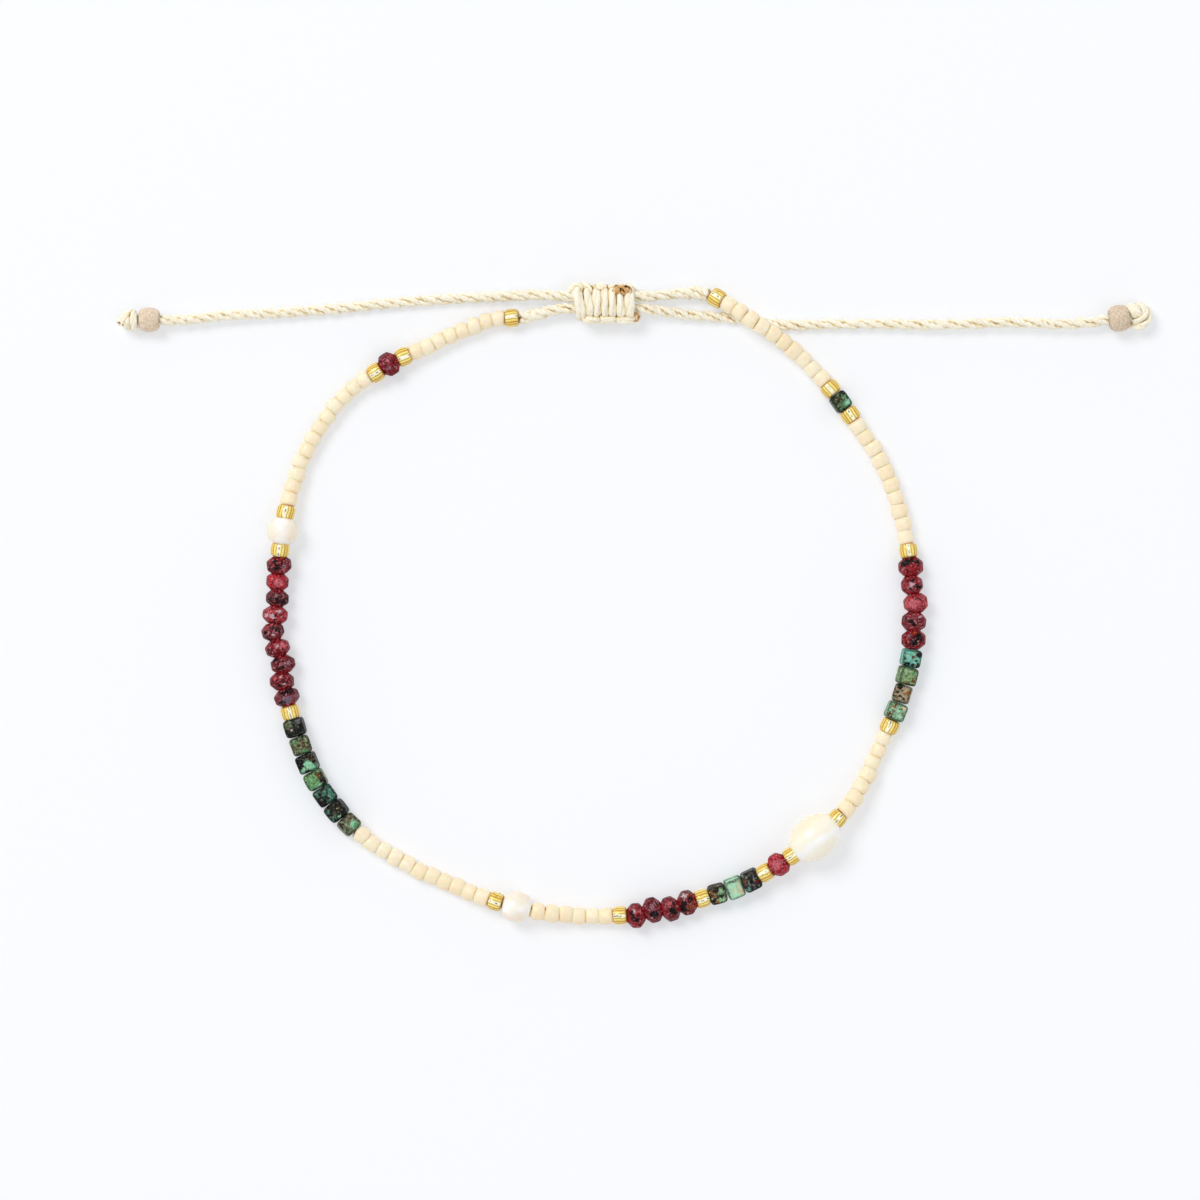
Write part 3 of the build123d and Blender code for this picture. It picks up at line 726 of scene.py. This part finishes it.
def gold_bead(bead, rng, shape):
    """Silver-lined glass: the lining's four sides show as bright bands between amber ones, painted
    as reflections with a painted highlight down each.
    """
    length = bead["length"] * 1.02
    width = GOLD_DIA * rng.uniform(0.99, 1.05)
    points, faces = drilled(barrel(width, length, 1.25, 3.2), 112, 25, HOLE_DIA, length)
    roll = rng.uniform(-10, 10)
    seed = rng.uniform(0, 50)
    paint = []
    for x, y, z in points:
        wobble = noise.noise((z * 1.1, x * 0.6, seed))
        angle = math.degrees(math.atan2(y, x)) + roll + 6 * wobble
        off = abs((angle + 45) % 90 - 45)
        # Painted reflections of the lining: a white painted highlight down the middle of each
        # band, thin brown lines beside it, and dark reflections in the highlight.
        band = srgb(255, 254, 244).lerp(srgb(254, 234, 138), smooth_step(4.5, 9, off))
        band = band.lerp(srgb(246, 206, 96), smooth_step(22, 32, off))
        for line, reach in ((16.0, 3.4), (36.0, 4.4)):
            share = 1 - smooth_step(0.3, reach, abs(off - line + 1.5 * wobble))
            band = band.lerp(srgb(122, 74, 12), 0.92 * share)
        reflection_squiggle = noise.noise((z * 2.4, off * 0.15, seed + 9))
        dark = (1 - smooth_step(1.5, 4.5, off)) * smooth_step(0.05, 0.16, reflection_squiggle)
        band = band.lerp(srgb(36, 28, 18), dark)
        edge = abs(z) * 2 / length
        band = band.lerp(srgb(206, 146, 50), 0.85 * smooth_step(0.78, 0.97, edge))
        paint.append(band)
    shape.add(points, faces, bead["place"], paint=paint)


def ruby_bead(bead, rng, shape):
    """Cut rondelle, a little longer than its share of the thread, with dark red painted shade at
    its ends.
    """
    look = RUBY_LOOKS[bead["look"]]
    width, degrees = RUBY_CUTS[bead["look"]]
    size = (RUBY_DIA * width,) * 2 + (bead["length"] * 1.12,)
    surface = cut_stone(rondelle_planes(rng), 24, size, HOLE_DIA)
    points, faces = drilled(surface, 60, 34, HOLE_DIA, size[2])
    lean = Matrix.Rotation(math.radians(degrees), 4, "Y")
    paint = stone_colours(points, RUBY_DIA / 2, look, bead["look"] + 1, False)
    # Painted shade in deep red at the ends, where the beads meet.
    paint = [colour.lerp(DEEP_RED, 0.75 * smooth_step(0.7, 0.95, abs(point[2]) * 2 / size[2]))
             for colour, point in zip(paint, points)]
    shape.add(points, faces, bead["place"] @ lean, paint=paint)


def turquoise_bead(bead, rng, shape):
    """Worn cube with rounded edges, which are dark with painted shade."""
    look = TURQUOISE_LOOKS[bead["look"]]
    side = bead["side"] * rng.uniform(0.99, 1.03)
    size = (side, side, bead["length"])
    surface = cut_stone(cube_planes(), rng.uniform(4.8, 6.8), size, HOLE_DIA)
    points, faces = drilled(surface, 64, 36, HOLE_DIA, size[2])
    shift = Vector((rng.random() * 9, 0, 0))
    points = [Vector(point) * (1 + 0.05 * noise.noise(Vector(point) * 0.8 + shift))
              for point in points]
    paint = stone_colours(points, side * 0.6, look, bead["look"] + 40, True)
    for index, point in enumerate(points):
        sides = sorted(abs(point[axis]) * 2 / size[axis] for axis in range(3))
        # Painted shade in near black along the edges.
        paint[index] = paint[index].lerp(INK, 0.75 * smooth_step(0.66, 0.86, sides[1]))
    shape.add(points, faces, bead["place"], paint=paint)


def small_pearl(bead, rng, shape):
    """Round pearl with a painted highlight whitest along its top, long enough for its ends to hug
    the next beads.
    """
    length = max(bead["length"], SMALL_PEARL[1])
    surface = barrel(SMALL_PEARL[0], length, HOLE_DIA, 2.08)
    points, faces = drilled(surface, 48, 25, HOLE_DIA, length)
    paint = []
    for point in points:
        # Painted highlight: whitest along the top, cream towards the flanks.
        flank = abs(point[0]) * 2 / SMALL_PEARL[0] + 0.35 * noise.noise(Vector(point) * 0.7)
        paint.append(srgb(255, 251, 244).lerp(srgb(247, 233, 212), smooth_step(0.15, 0.75, flank)))
    shape.add(points, faces, bead["place"], paint=paint)


def large_pearl(bead, rng, shape):
    """Long pearl with a creamy flank of painted shade and a bright streak, a painted highlight,
    along its other one.
    """
    length = LARGE_PEARL[1]
    surface = barrel(LARGE_PEARL[0] * 1.01, length, HOLE_DIA, 1.95)
    points, faces = drilled(surface, 72, 41, HOLE_DIA, length)
    paint = []
    for point in points:
        offset = Vector(point) / (LARGE_PEARL[0] / 2)
        across = -offset.x + 0.1 * noise.noise(offset * 1.6)
        # Painted shade: cream on each flank, lighter between them.
        colour = srgb(250, 234, 202).lerp(srgb(255, 247, 228), smooth_step(-0.85, -0.25, across))
        # Painted highlight: the white streak.
        streak = 1 - smooth_step(0.04, 0.3, abs(across - 0.22 - 0.1 * offset.z))
        colour = colour.lerp(srgb(255, 255, 253), 0.9 * streak)
        paint.append(colour.lerp(srgb(251, 240, 216), smooth_step(0.6, 0.95, across)))
    shape.add(points, faces, bead["place"], paint=paint)


def make_strand(materials):
    """Every row of the strand, one piece for each row."""
    kinds = {"cream": (cream_bead, "cream_beads_{}", "cream_glass"),
             "gold": (gold_bead, "gold_bead_{:02d}", "gold_glass"),
             "ruby": (ruby_bead, "ruby_beads_{}", "ruby_stone"),
             "turquoise": (turquoise_bead, "turquoise_beads_{}", "turquoise_stone"),
             "small_pearl": (small_pearl, "small_pearl_{}", "white_pearl"),
             "large_pearl": (large_pearl, "large_pearl", "cream_pearl")}
    beads = strand_beads()
    beads_seen = dict.fromkeys(kinds, 0)
    for bead in beads:
        bead["look"] = beads_seen[bead["kind"]]
        beads_seen[bead["kind"]] += 1
    rows_seen = dict.fromkeys(kinds, 0)
    rng = random.Random(7)
    for row, (kind, _, _) in enumerate(ROWS):
        make_bead, node, slot = kinds[kind]
        rows_seen[kind] += 1
        shape = Shape()
        for bead in beads:
            if bead["row"] == row:
                make_bead(bead, rng, shape)
        shape.piece(node.format(rows_seen[kind]), materials, slot)


# ---- cords ----
def curve_line(name, route):
    """Points along the smooth line of a cord, which its route's points steer."""
    curve = bpy.data.curves.new(name, "CURVE")
    curve.dimensions = "3D"
    curve.resolution_u = 16
    spline = curve.splines.new("NURBS")
    spline.points.add(len(route) - 1)
    for point, place in zip(spline.points, route):
        point.co = (*[number * MM for number in place], 1)
    spline.order_u = 3
    spline.use_endpoint_u = True
    holder = bpy.data.objects.new(name, curve)
    mesh = bpy.data.meshes.new_from_object(holder)
    line = [vertex.co / MM for vertex in mesh.vertices]
    bpy.data.objects.remove(holder)
    bpy.data.meshes.remove(mesh)
    bpy.data.curves.remove(curve)
    return line


def evenly(line, step):
    """The same line with points at even distances."""
    along = distances(line)
    count = max(2, round(along[-1] / step))
    return [point_at(line, along, along[-1] * number / count) for number in range(count + 1)]


def directions(line):
    """Direction of a line at each of its points."""
    found = []
    for index in range(len(line)):
        before, after = line[max(index - 1, 0)], line[min(index + 1, len(line) - 1)]
        found.append((after - before).normalized())
    return found


def steady_sides(line):
    """A sideways vector at each point, which turns with the line and no more."""
    ways = directions(line)
    side = ways[0].cross(Vector((0, 0, 1))).normalized()
    sides = []
    for way in ways:
        side = (side - way * side.dot(way)).normalized()
        sides.append(side)
    return ways, sides


def towards(middle, centre, way):
    """Two directions square to the way of a strand: to the middle of its cord, and across."""
    inward = middle - centre
    inward = (inward - way * inward.dot(way)).normalized()
    return inward, way.cross(inward)


def turned(first, second, turn):
    """Direction at an angle from the first of two square directions towards the second."""
    return first * math.cos(turn) + second * math.sin(turn)


def lay_plies(shape, middles, centres, radii, seed):
    """One strand of a loose cord, as two plies that are twisted the other way."""
    ways = directions(centres)
    reaches = [(centre - middle).length + radius
               for middle, centre, radius in zip(middles, centres, radii)]
    spacing = (centres[1] - centres[0]).length
    for ply in range(2):
        turn = math.pi * ply + seed
        plies = []
        for way, middle, centre, radius in zip(ways, middles, centres, radii):
            turn += 2 * math.pi * spacing / PLY_PITCH
            out = turned(*towards(middle, centre, way), turn)
            plies.append(centre + out * radius * PLY_OFFSET)
        lay_strand(shape, middles, plies, [radius * PLY_WIDTH for radius in radii],
                   seed + ply * 0.4, 0.0, 10, (centres, radii, reaches))


def lay_strand(shape, middles, centres, radii, seed, slant, sides, core=None):
    """One strand of a cord round its centres. Middles are the cord's own line.

    Core is the line, the radii and the outermost reaches of the strand that a ply is part of.
    """
    shape.strands.append((shape.wraps, len(shape.points), centres, radii, sides))
    points, lays, grooves = [], [], []
    ways = directions(centres)
    along = 0.0
    for index, (middle, centre, radius) in enumerate(zip(middles, centres, radii)):
        if index:
            along += (centre - centres[index - 1]).length
        inward, across = towards(middle, centre, ways[index])
        reach = core[2][index] if core else (centre - middle).length + radius
        for side in range(sides):
            turn = 2 * math.pi * side / sides
            out = turned(inward, across, turn)
            rough = 1 + 0.1 * noise.noise(Vector((along * 1.5, turn * 2.2, seed)))
            point = centre + out * radius * rough
            point.z = max(point.z, 0)
            points.append(point)
            around = (turn - math.pi) * radius
            lays.append((along * math.cos(slant) - around * math.sin(slant),
                         around * math.cos(slant) + along * math.sin(slant), seed))
            # Painted shade in the groove towards the cord's middle, and on the inner side of each
            # ply.
            groove = 1 - smooth_step(0.58, 0.7, (point - middle).length / reach)
            if core:
                inner = (point - core[0][index]).length / core[1][index]
                groove = max(groove, 0.5 * (1 - smooth_step(0.69, 0.8, inner)))
            grooves.append(groove)
    faces = ring_faces(len(centres), sides)
    faces.append(tuple(range(sides - 1, -1, -1)))
    last = len(points) - sides
    faces.append(tuple(range(last, last + sides)))
    shape.add(points, faces, lay=lays, groove=grooves, burn=[0.0] * len(points))


def lay_cord(shape, line, diameter, pitches, seed, step, lie, swell=None):
    """Three twisted strands along a line. The pitch goes from the first to the second one.

    Lie says how the strands lie in the cord. Swell gives the cord's extra width, its place
    and its reach along the cord.
    """
    middles = evenly(line, step)
    ways, sides = steady_sides(middles)
    spacing = (middles[1] - middles[0]).length
    slant = math.atan(math.pi * diameter / pitches[0])
    offset, width = lie
    for strand in range(3):
        centres, radii = [], []
        turn = 2 * math.pi * strand / 3 + seed
        for index, middle in enumerate(middles):
            share = index / (len(middles) - 1)
            along = index * spacing
            pitch = pitches[0] + (pitches[1] - pitches[0]) * share
            turn -= 2 * math.pi * spacing / pitch
            uneven = 0.6 * noise.noise(Vector((along * 0.7, strand * 5, seed)))
            thick = 1.02 + 0.3 * noise.noise(Vector((along * 1.1, strand * 5, seed + 30)))
            radius = diameter / 2
            if swell:
                extra, place, reach = swell
                radius *= 1 + extra * math.exp(-((along - place) / reach) ** 2)
            up = sides[index].cross(ways[index])
            out = turned(sides[index], up, turn + uneven)
            centres.append(middle + out * radius * offset)
            radii.append(radius * width * thick)
        if lie == TIGHT_LIE:
            lay_strand(shape, middles, centres, radii, seed * 7 + strand, slant, 14)
        else:
            lay_plies(shape, middles, centres, radii, seed * 7 + strand)


def paint_crease_shade(shape):
    """Paint shade on a knot's strands where others meet them, darkest where three wraps meet."""
    tree = kdtree.KDTree(sum(len(centres) for _, _, centres, _, _ in shape.strands))
    owners = []
    for strand, (wrap, _, centres, radii, _) in enumerate(shape.strands):
        for centre, radius in zip(centres, radii):
            tree.insert(centre, len(owners))
            owners.append((wrap, strand, radius))
    tree.balance()
    for strand, (wrap, first, centres, _, sides) in enumerate(shape.strands):
        for index in range(first, first + len(centres) * sides):
            gaps = {}
            for _, number, distance in tree.find_range(shape.points[index], CREASE_REACH):
                other_wrap, other_strand, radius = owners[number]
                if other_strand != strand:
                    gaps[other_wrap] = min(gaps.get(other_wrap, 1), distance - radius)
            own = gaps.pop(wrap, 1)
            near = sorted(gaps.values()) + [1, 1]
            between = 1 - smooth_step(0.03, 0.17, near[0])
            within = 0.5 * (1 - smooth_step(0.0, 0.09, own))
            third = 1 - smooth_step(0.05, 0.3, near[1])
            shape.values["groove"][index] = max(within, between * (0.85 + third))


def make_cord(node, route, pitches, seed, swell, materials):
    """One of the two free cords, from the end of the strand to its end knot."""
    shape = Shape()
    line = curve_line(node, route)
    lay_cord(shape, line, CORD_DIA * 1.06, pitches, seed, CORD_STEP, LOOSE_LIE, swell)
    made = shape.piece(node, materials, "waxed_cord")
    path = [point * MM for point in evenly(line, 0.8)]


# ---- what is on the cords ----
def make_wood_bead(node, place, size, shade, materials):
    """Turned stopper bead; the rims of its hole are dark with painted shade, and shade darkens it
    all.
    """
    diameter, length = size
    hole = CORD_DIA + 0.3
    surface = barrel(diameter * 1.02, length * 1.03, hole + 0.15, 2.1)
    points, faces = drilled(surface, 64, 25, hole, length)
    lays = [(z, x, y) for x, y, z in points]
    dark = []
    for x, y, z in points:
        # Painted shade round the rims of the hole; the ends are a little darker too.
        rim_shade = 1 - smooth_step(hole / 2 + 0.05, hole / 2 + 0.3, math.hypot(x, y))
        dark.append(max(0.85 * rim_shade, shade + 0.14 * smooth_step(0.8, 1.0, abs(z) * 2 / length)))
    shape = Shape()
    shape.add(points, faces, turned_to(*place), lay=lays, dark=dark)
    return shape.piece(node, materials, "pale_wood")


def knot_strand(shape, points, diameter, pitch, seed):
    """A stretch of a knot's cord, laid on a smooth line through the points."""
    shape.wraps += 1
    line = [Vector(point) for point in smooth_line(points, 10)]
    lay_cord(shape, line, diameter, (pitch, pitch), seed, KNOT_STEP, TIGHT_LIE)


def melted_blob(shape, middle, size, direction, seed, burnt, groove=0.1):
    """A lump of melted cord; burnt gives the least and the most scorching, and the last number its
    painted shade. Random patches are scorched less, as painted highlights.
    """
    surface = barrel(size[0], size[1], 0.1, 2.3)
    points, faces = drilled(surface, 40, 27, 0.06, size[1])
    place = turned_to(middle, direction)
    lumps, burns = [], []
    for point in points:
        wave = noise.noise(Vector(point) * 1.9 + Vector((seed, 0, 0)))
        ripple = noise.noise(Vector(point) * 4.5 + Vector((seed, 0, 0)))
        lumps.append(Vector(point) * (1 + 0.18 * wave + 0.07 * ripple))
        spot = noise.noise(Vector(point) * 2.9 + Vector((0, seed, 0)))
        # Painted highlights: random patches are scorched less.
        painted_highlight = smooth_step(0.1, 0.4, noise.noise(Vector(point) * 2.4 + Vector((0, 0, seed))))
        scorch = burnt[0] + (burnt[1] - burnt[0]) * smooth_step(0.0, 0.32, spot)
        burns.append(scorch * (1 - 0.6 * painted_highlight))
    count = len(lumps)
    shape.add(lumps, faces, place, lay=[(p.z, p.x, seed) for p in lumps],
              groove=[groove] * count, burn=burns)


# Wraps of the end knots: thickness, and points.
END_KNOT_RIGHT = [
    (1.2, [(69.4, 37.18, 1.86), (70.0, 37.3, 1.7), (70.6, 37.4, 1.5), (71.0, 37.5, 1.4)]),
    (1.55, [(69.65, 38.3, 1.2), (69.8, 38.2, 1.9), (70.1, 37.95, 2.3), (70.4, 37.55, 2.2),
            (70.6, 37.25, 1.7)]),
    (0.98, [(70.6, 38.65, 1.4), (71.1, 38.6, 1.9), (71.45, 38.0, 2.25), (71.3, 37.35, 2.35),
            (70.8, 36.87, 2.3), (70.25, 36.62, 2.1), (69.85, 36.65, 1.5)]),
    (1.05, [(71.55, 38.4, 1.0), (71.92, 37.95, 1.45), (71.98, 37.3, 1.75), (71.75, 36.62, 1.85),
            (71.2, 36.12, 1.95), (70.6, 35.98, 1.85), (70.05, 36.2, 1.55), (69.85, 36.6, 1.1)]),
    (1.25, [(70.4, 38.3, 0.8), (71.2, 38.2, 0.8), (71.6, 37.5, 0.8), (71.4, 36.8, 0.8),
            (70.8, 36.45, 0.8), (70.2, 36.6, 0.8)]),
]
END_KNOT_LEFT = [
    (1.2, [(-58.8, 36.85, 1.63), (-59.4, 36.85, 1.5), (-60.0, 36.9, 1.4), (-60.6, 36.9, 1.3)]),
    (1.1, [(-59.85, 36.2, 0.7), (-59.78, 35.8, 1.3), (-59.75, 36.0, 2.0), (-59.75, 36.6, 2.45),
           (-59.77, 37.25, 2.25), (-59.8, 37.55, 1.5), (-59.9, 37.3, 0.8)]),
    (1.3, [(-59.95, 37.45, 1.6), (-60.4, 37.45, 2.0), (-60.85, 37.2, 2.1), (-61.0, 36.75, 1.9),
           (-60.85, 36.4, 1.4)]),
    (1.15, [(-60.15, 37.2, 2.1), (-60.4, 36.7, 2.35), (-60.45, 36.2, 2.1), (-60.3, 35.9, 1.4)]),
    (1.2, [(-60.1, 37.3, 0.8), (-60.8, 37.2, 0.8), (-61.05, 36.7, 0.8), (-60.7, 36.2, 0.8),
           (-60.1, 36.1, 0.8)]),
]


def make_end_knot(node, wraps, middle, tips, materials):
    """Tight overhand knot: the wraps of cord that show, round the cord's own end."""
    shape = Shape()
    for number, (diameter, points) in enumerate(wraps):
        knot_strand(shape, points, diameter, 9.0, number * 1.3)
    # The cord's end inside the knot, dark with painted shade where it shows between the wraps.
    melted_blob(shape, middle, (1.7, 1.9), (1, 0, 0), 1.0, (0.0, 0.0), 1.6)
    for tip in tips:
        melted_blob(shape, *tip)
    paint_crease_shade(shape)
    return shape.piece(node, materials, "waxed_cord")


# Wraps across the sliding knot: thickness, and where they start and end along it.
KNOT_BARS = [
    (1.46, -2.28, -1.6), (1.22, -0.88, -0.46), (1.28, 0.3, 0.38), (1.18, 1.31, 1.42),
    (1.2, 2.27, 2.4), (1.28, 3.34, 3.56), (1.42, 4.48, 4.62),
]
# Stretches along the sliding knot's upper and lower edges: thickness, and points.
KNOT_EDGES = [
    (1.3, [(-3.0, 40.3, 1.7), (-2.85, 40.75, 2.35), (-2.4, 40.95, 2.6), (-1.85, 40.85, 2.6),
           (-1.55, 40.45, 2.2)]),
    (1.15, [(-1.6, 41.2, 1.8), (-1.25, 41.1, 2.45), (-0.85, 40.85, 2.75), (-0.5, 40.45, 2.75),
            (-0.3, 40.1, 2.3)]),
    (1.25, [(-0.15, 40.4, 1.9), (0.15, 40.75, 2.5), (0.72, 40.92, 2.7), (1.3, 40.82, 2.6),
            (1.62, 40.45, 2.1)]),
    (1.1, [(1.75, 40.4, 1.9), (2.05, 40.75, 2.5), (2.55, 40.9, 2.55), (3.05, 40.75, 2.1)]),
    (1.15, [(3.0, 40.7, 1.8), (3.7, 40.95, 2.05), (4.4, 40.8, 2.05), (4.85, 40.4, 1.7)]),
    (1.22, [(-1.85, 37.75, 1.6), (-1.5, 37.3, 2.15), (-0.95, 36.92, 2.5), (-0.2, 36.8, 2.6),
            (0.4, 36.98, 2.45), (0.75, 37.4, 1.9)]),
    (1.22, [(0.6, 37.4, 1.9), (1.0, 36.98, 2.4), (1.7, 36.8, 2.6), (2.4, 36.95, 2.5),
            (2.9, 37.4, 1.9)]),
    (1.25, [(2.8, 37.4, 1.9), (3.25, 36.95, 2.4), (3.95, 36.78, 2.55), (4.7, 36.9, 2.4),
            (5.3, 37.25, 2.0)]),
]


def make_sliding_knot(materials):
    """Sleeve of half knots round both cords, with the melted tips of its own two cords."""
    shape = Shape()
    for number, (thickness, top, bottom) in enumerate(KNOT_BARS):
        middle = (top + bottom) / 2
        front = [(top, 40.95, 1.9), (top, 40.6, 2.65), (top * 0.7 + middle * 0.3, 40.0, 3.05),
                 (middle, KNOT_MIDDLE, 3.2), (bottom * 0.7 + middle * 0.3, 38.1, 3.05),
                 (bottom, 37.5, 2.65), (bottom, 37.15, 1.9)]
        knot_strand(shape, front, thickness, 14.0, number * 1.7)
        back = [(top, 41.0, 1.4), (top, 40.4, 0.76), (middle, KNOT_MIDDLE, 0.64),
                (bottom, 37.7, 0.76), (bottom, 37.1, 1.4)]
        knot_strand(shape, back, 1.2, 14.0, number * 2.3)
    # A core and a slit under the bars, dark with painted shade where they show between the wraps.
    melted_blob(shape, (1.4, KNOT_MIDDLE, 1.95), (2.0, 6.0), (1, 0, 0), 1.0, (0.0, 0.0), 1.15)
    melted_blob(shape, (-1.25, 39.0, 2.5), (0.55, 3.0), (0.12, -1, 0), 2.0, (0.0, 0.0), 1.9)
    for number, (thickness, points) in enumerate(KNOT_EDGES):
        knot_strand(shape, points, thickness, 7.0, 5 + number)
        lower = [(x + 0.5, KNOT_MIDDLE + (y - KNOT_MIDDLE) * 0.98, z - 1.15)
                 for x, y, z in points]
        knot_strand(shape, lower, 1.15, 9.0, 15 + number)
    melted_blob(shape, (3.62, 40.52, 3.2), (1.5, 2.5), (1, -0.08, 0), 3.0, (0.42, 1.0))
    melted_blob(shape, (5.3, 37.12, 2.15), (1.25, 1.2), (1, 0.5, 0), 8.0, (0.45, 1.0))
    paint_crease_shade(shape)
    shape.piece("sliding_knot", materials, "waxed_cord")


# ---- floor, light and camera ----
def seen_directly(nodes):
    """1 where a surface is looked at, also in a reflection or through glass, otherwise 0."""
    path = nodes.node("ShaderNodeLightPath").outputs
    seen = nodes.math("MAXIMUM", path["Is Camera Ray"], path["Is Glossy Ray"])
    return nodes.math("MAXIMUM", seen, path["Is Transmission Ray"])


def make_floor():
    """Plain white floor. Part of its white is its own where it is seen; it keeps shadows."""
    nodes = Nodes("floor", 0.9, Specular_IOR_Level=0.0)
    nodes.colour(srgb(250, 251, 253))
    share = nodes.math("MULTIPLY", seen_directly(nodes), FLOOR_OWN_WHITE)
    white = nodes.node("ShaderNodeEmission", {"Color": srgb(249, 251, 255), "Strength": 1.0})
    both = nodes.node("ShaderNodeMixShader", {0: share, 1: nodes.shader.outputs[0],
                                              2: white.outputs[0]})
    output = nodes.tree.nodes["Material Output"]
    nodes.put(output.inputs["Surface"], both.outputs[0])
    mesh = bpy.data.meshes.new("floor")
    corners = [(-1, -1, 0), (1, -1, 0), (1, 1, 0), (-1, 1, 0)]
    mesh.from_pydata([Vector(corner) * FLOOR_REACH for corner in corners], [], [(0, 1, 2, 3)])
    mesh.materials.append(nodes.material)
    floor = bpy.data.objects.new("floor", mesh)
    floor.location.z = -FLOOR_DROP
    bpy.context.collection.objects.link(floor)


def make_lamp(name, place, side, power):
    """Square soft lamp aimed at the middle of the object."""
    data = bpy.data.lights.new(name, "AREA")
    data.shape = "SQUARE"
    data.size = side
    data.energy = power
    lamp = bpy.data.objects.new(name, data)
    lamp.location = place
    lamp.rotation_euler = (-Vector(place)).to_track_quat("-Z", "Y").to_euler()
    bpy.context.collection.objects.link(lamp)


def make_world():
    """Soft white surroundings, white at the horizon and darker overhead."""
    world = bpy.data.worlds.new("surroundings")
    world.use_nodes = True
    bpy.context.scene.world = world
    tree = world.node_tree
    place = tree.nodes.new("ShaderNodeTexCoord")
    parts = tree.nodes.new("ShaderNodeSeparateXYZ")
    tree.links.new(place.outputs["Generated"], parts.inputs[0])
    strength = tree.nodes.new("ShaderNodeMapRange")
    strength.interpolation_type = "SMOOTHSTEP"
    strength.inputs["To Min"].default_value = 1.0
    strength.inputs["To Max"].default_value = OVERHEAD_LIGHT
    tree.links.new(parts.outputs["Z"], strength.inputs["Value"])
    background = tree.nodes["Background"]
    background.inputs["Color"].default_value = (0.965, 0.98, 1.0, 1)
    tree.links.new(strength.outputs["Result"], background.inputs["Strength"])


def make_camera():
    """Straight above the loop, with the tails across the frame."""
    data = bpy.data.cameras.new("camera")
    data.sensor_width = 36
    data.lens = CAMERA_LENS
    camera = bpy.data.objects.new("camera", data)
    camera.location = CAMERA_PLACE
    bpy.context.collection.objects.link(camera)
    bpy.context.scene.camera = camera


# ---- the scene ----
bpy.context.scene.view_settings.view_transform = "Standard"
make_camera()
make_world()
make_lamp("key_lamp", (-0.9, 0.9, 1.65), 0.9, 21.0)
make_lamp("fill_lamp", (0.8, -0.5, 1.7), 1.2, 6.0)
make_floor()

materials = {
    "cream_glass": cream_material(),
    "gold_glass": gold_material(),
    "ruby_stone": stone_material("ruby_stone", 0.58, 0.66, srgb(208, 144, 150)),
    "turquoise_stone": stone_material("turquoise_stone", 0.62, 0.55, srgb(180, 210, 172)),
    "white_pearl": pearl_material("white_pearl"),
    "cream_pearl": pearl_material("cream_pearl"),
    "pale_wood": wood_material(),
    "waxed_cord": cord_material(),
}
wood_right = make_wood_bead("wood_bead_right", WOOD_RIGHT, WOOD_RIGHT_SIZE, 0.14, materials)
wood_left = make_wood_bead("wood_bead_left", WOOD_LEFT, WOOD_LEFT_SIZE, 0.04, materials)
knot_right = make_end_knot(
    "end_knot_right", END_KNOT_RIGHT, (70.8, 37.35, 1.4),
    [((71.0, 35.75, 1.75), (0.45, 0.7), (1, 0.1, 0), 2.0, (0.5, 1.0))], materials)
knot_left = make_end_knot(
    "end_knot_left", END_KNOT_LEFT, (-60.4, 36.8, 1.3),
    [((-61.25, 36.35, 1.95), (0.72, 1.5), (1, -0.65, 0), 4.0, (0.0, 0.9)),
     ((-60.75, 36.0, 2.05), (0.42, 0.5), (1, -0.6, 0), 6.0, (0.7, 1.0))], materials)
make_cord("cord_right", CORD_RIGHT, (6.0, 7.6), 1.0, (0.32, 1.5, 2.4), materials)
make_cord("cord_left", CORD_LEFT, (6.6, 5.6), 2.0, (0.3, 1.3, 2.2), materials)
make_sliding_knot(materials)
make_strand(materials)
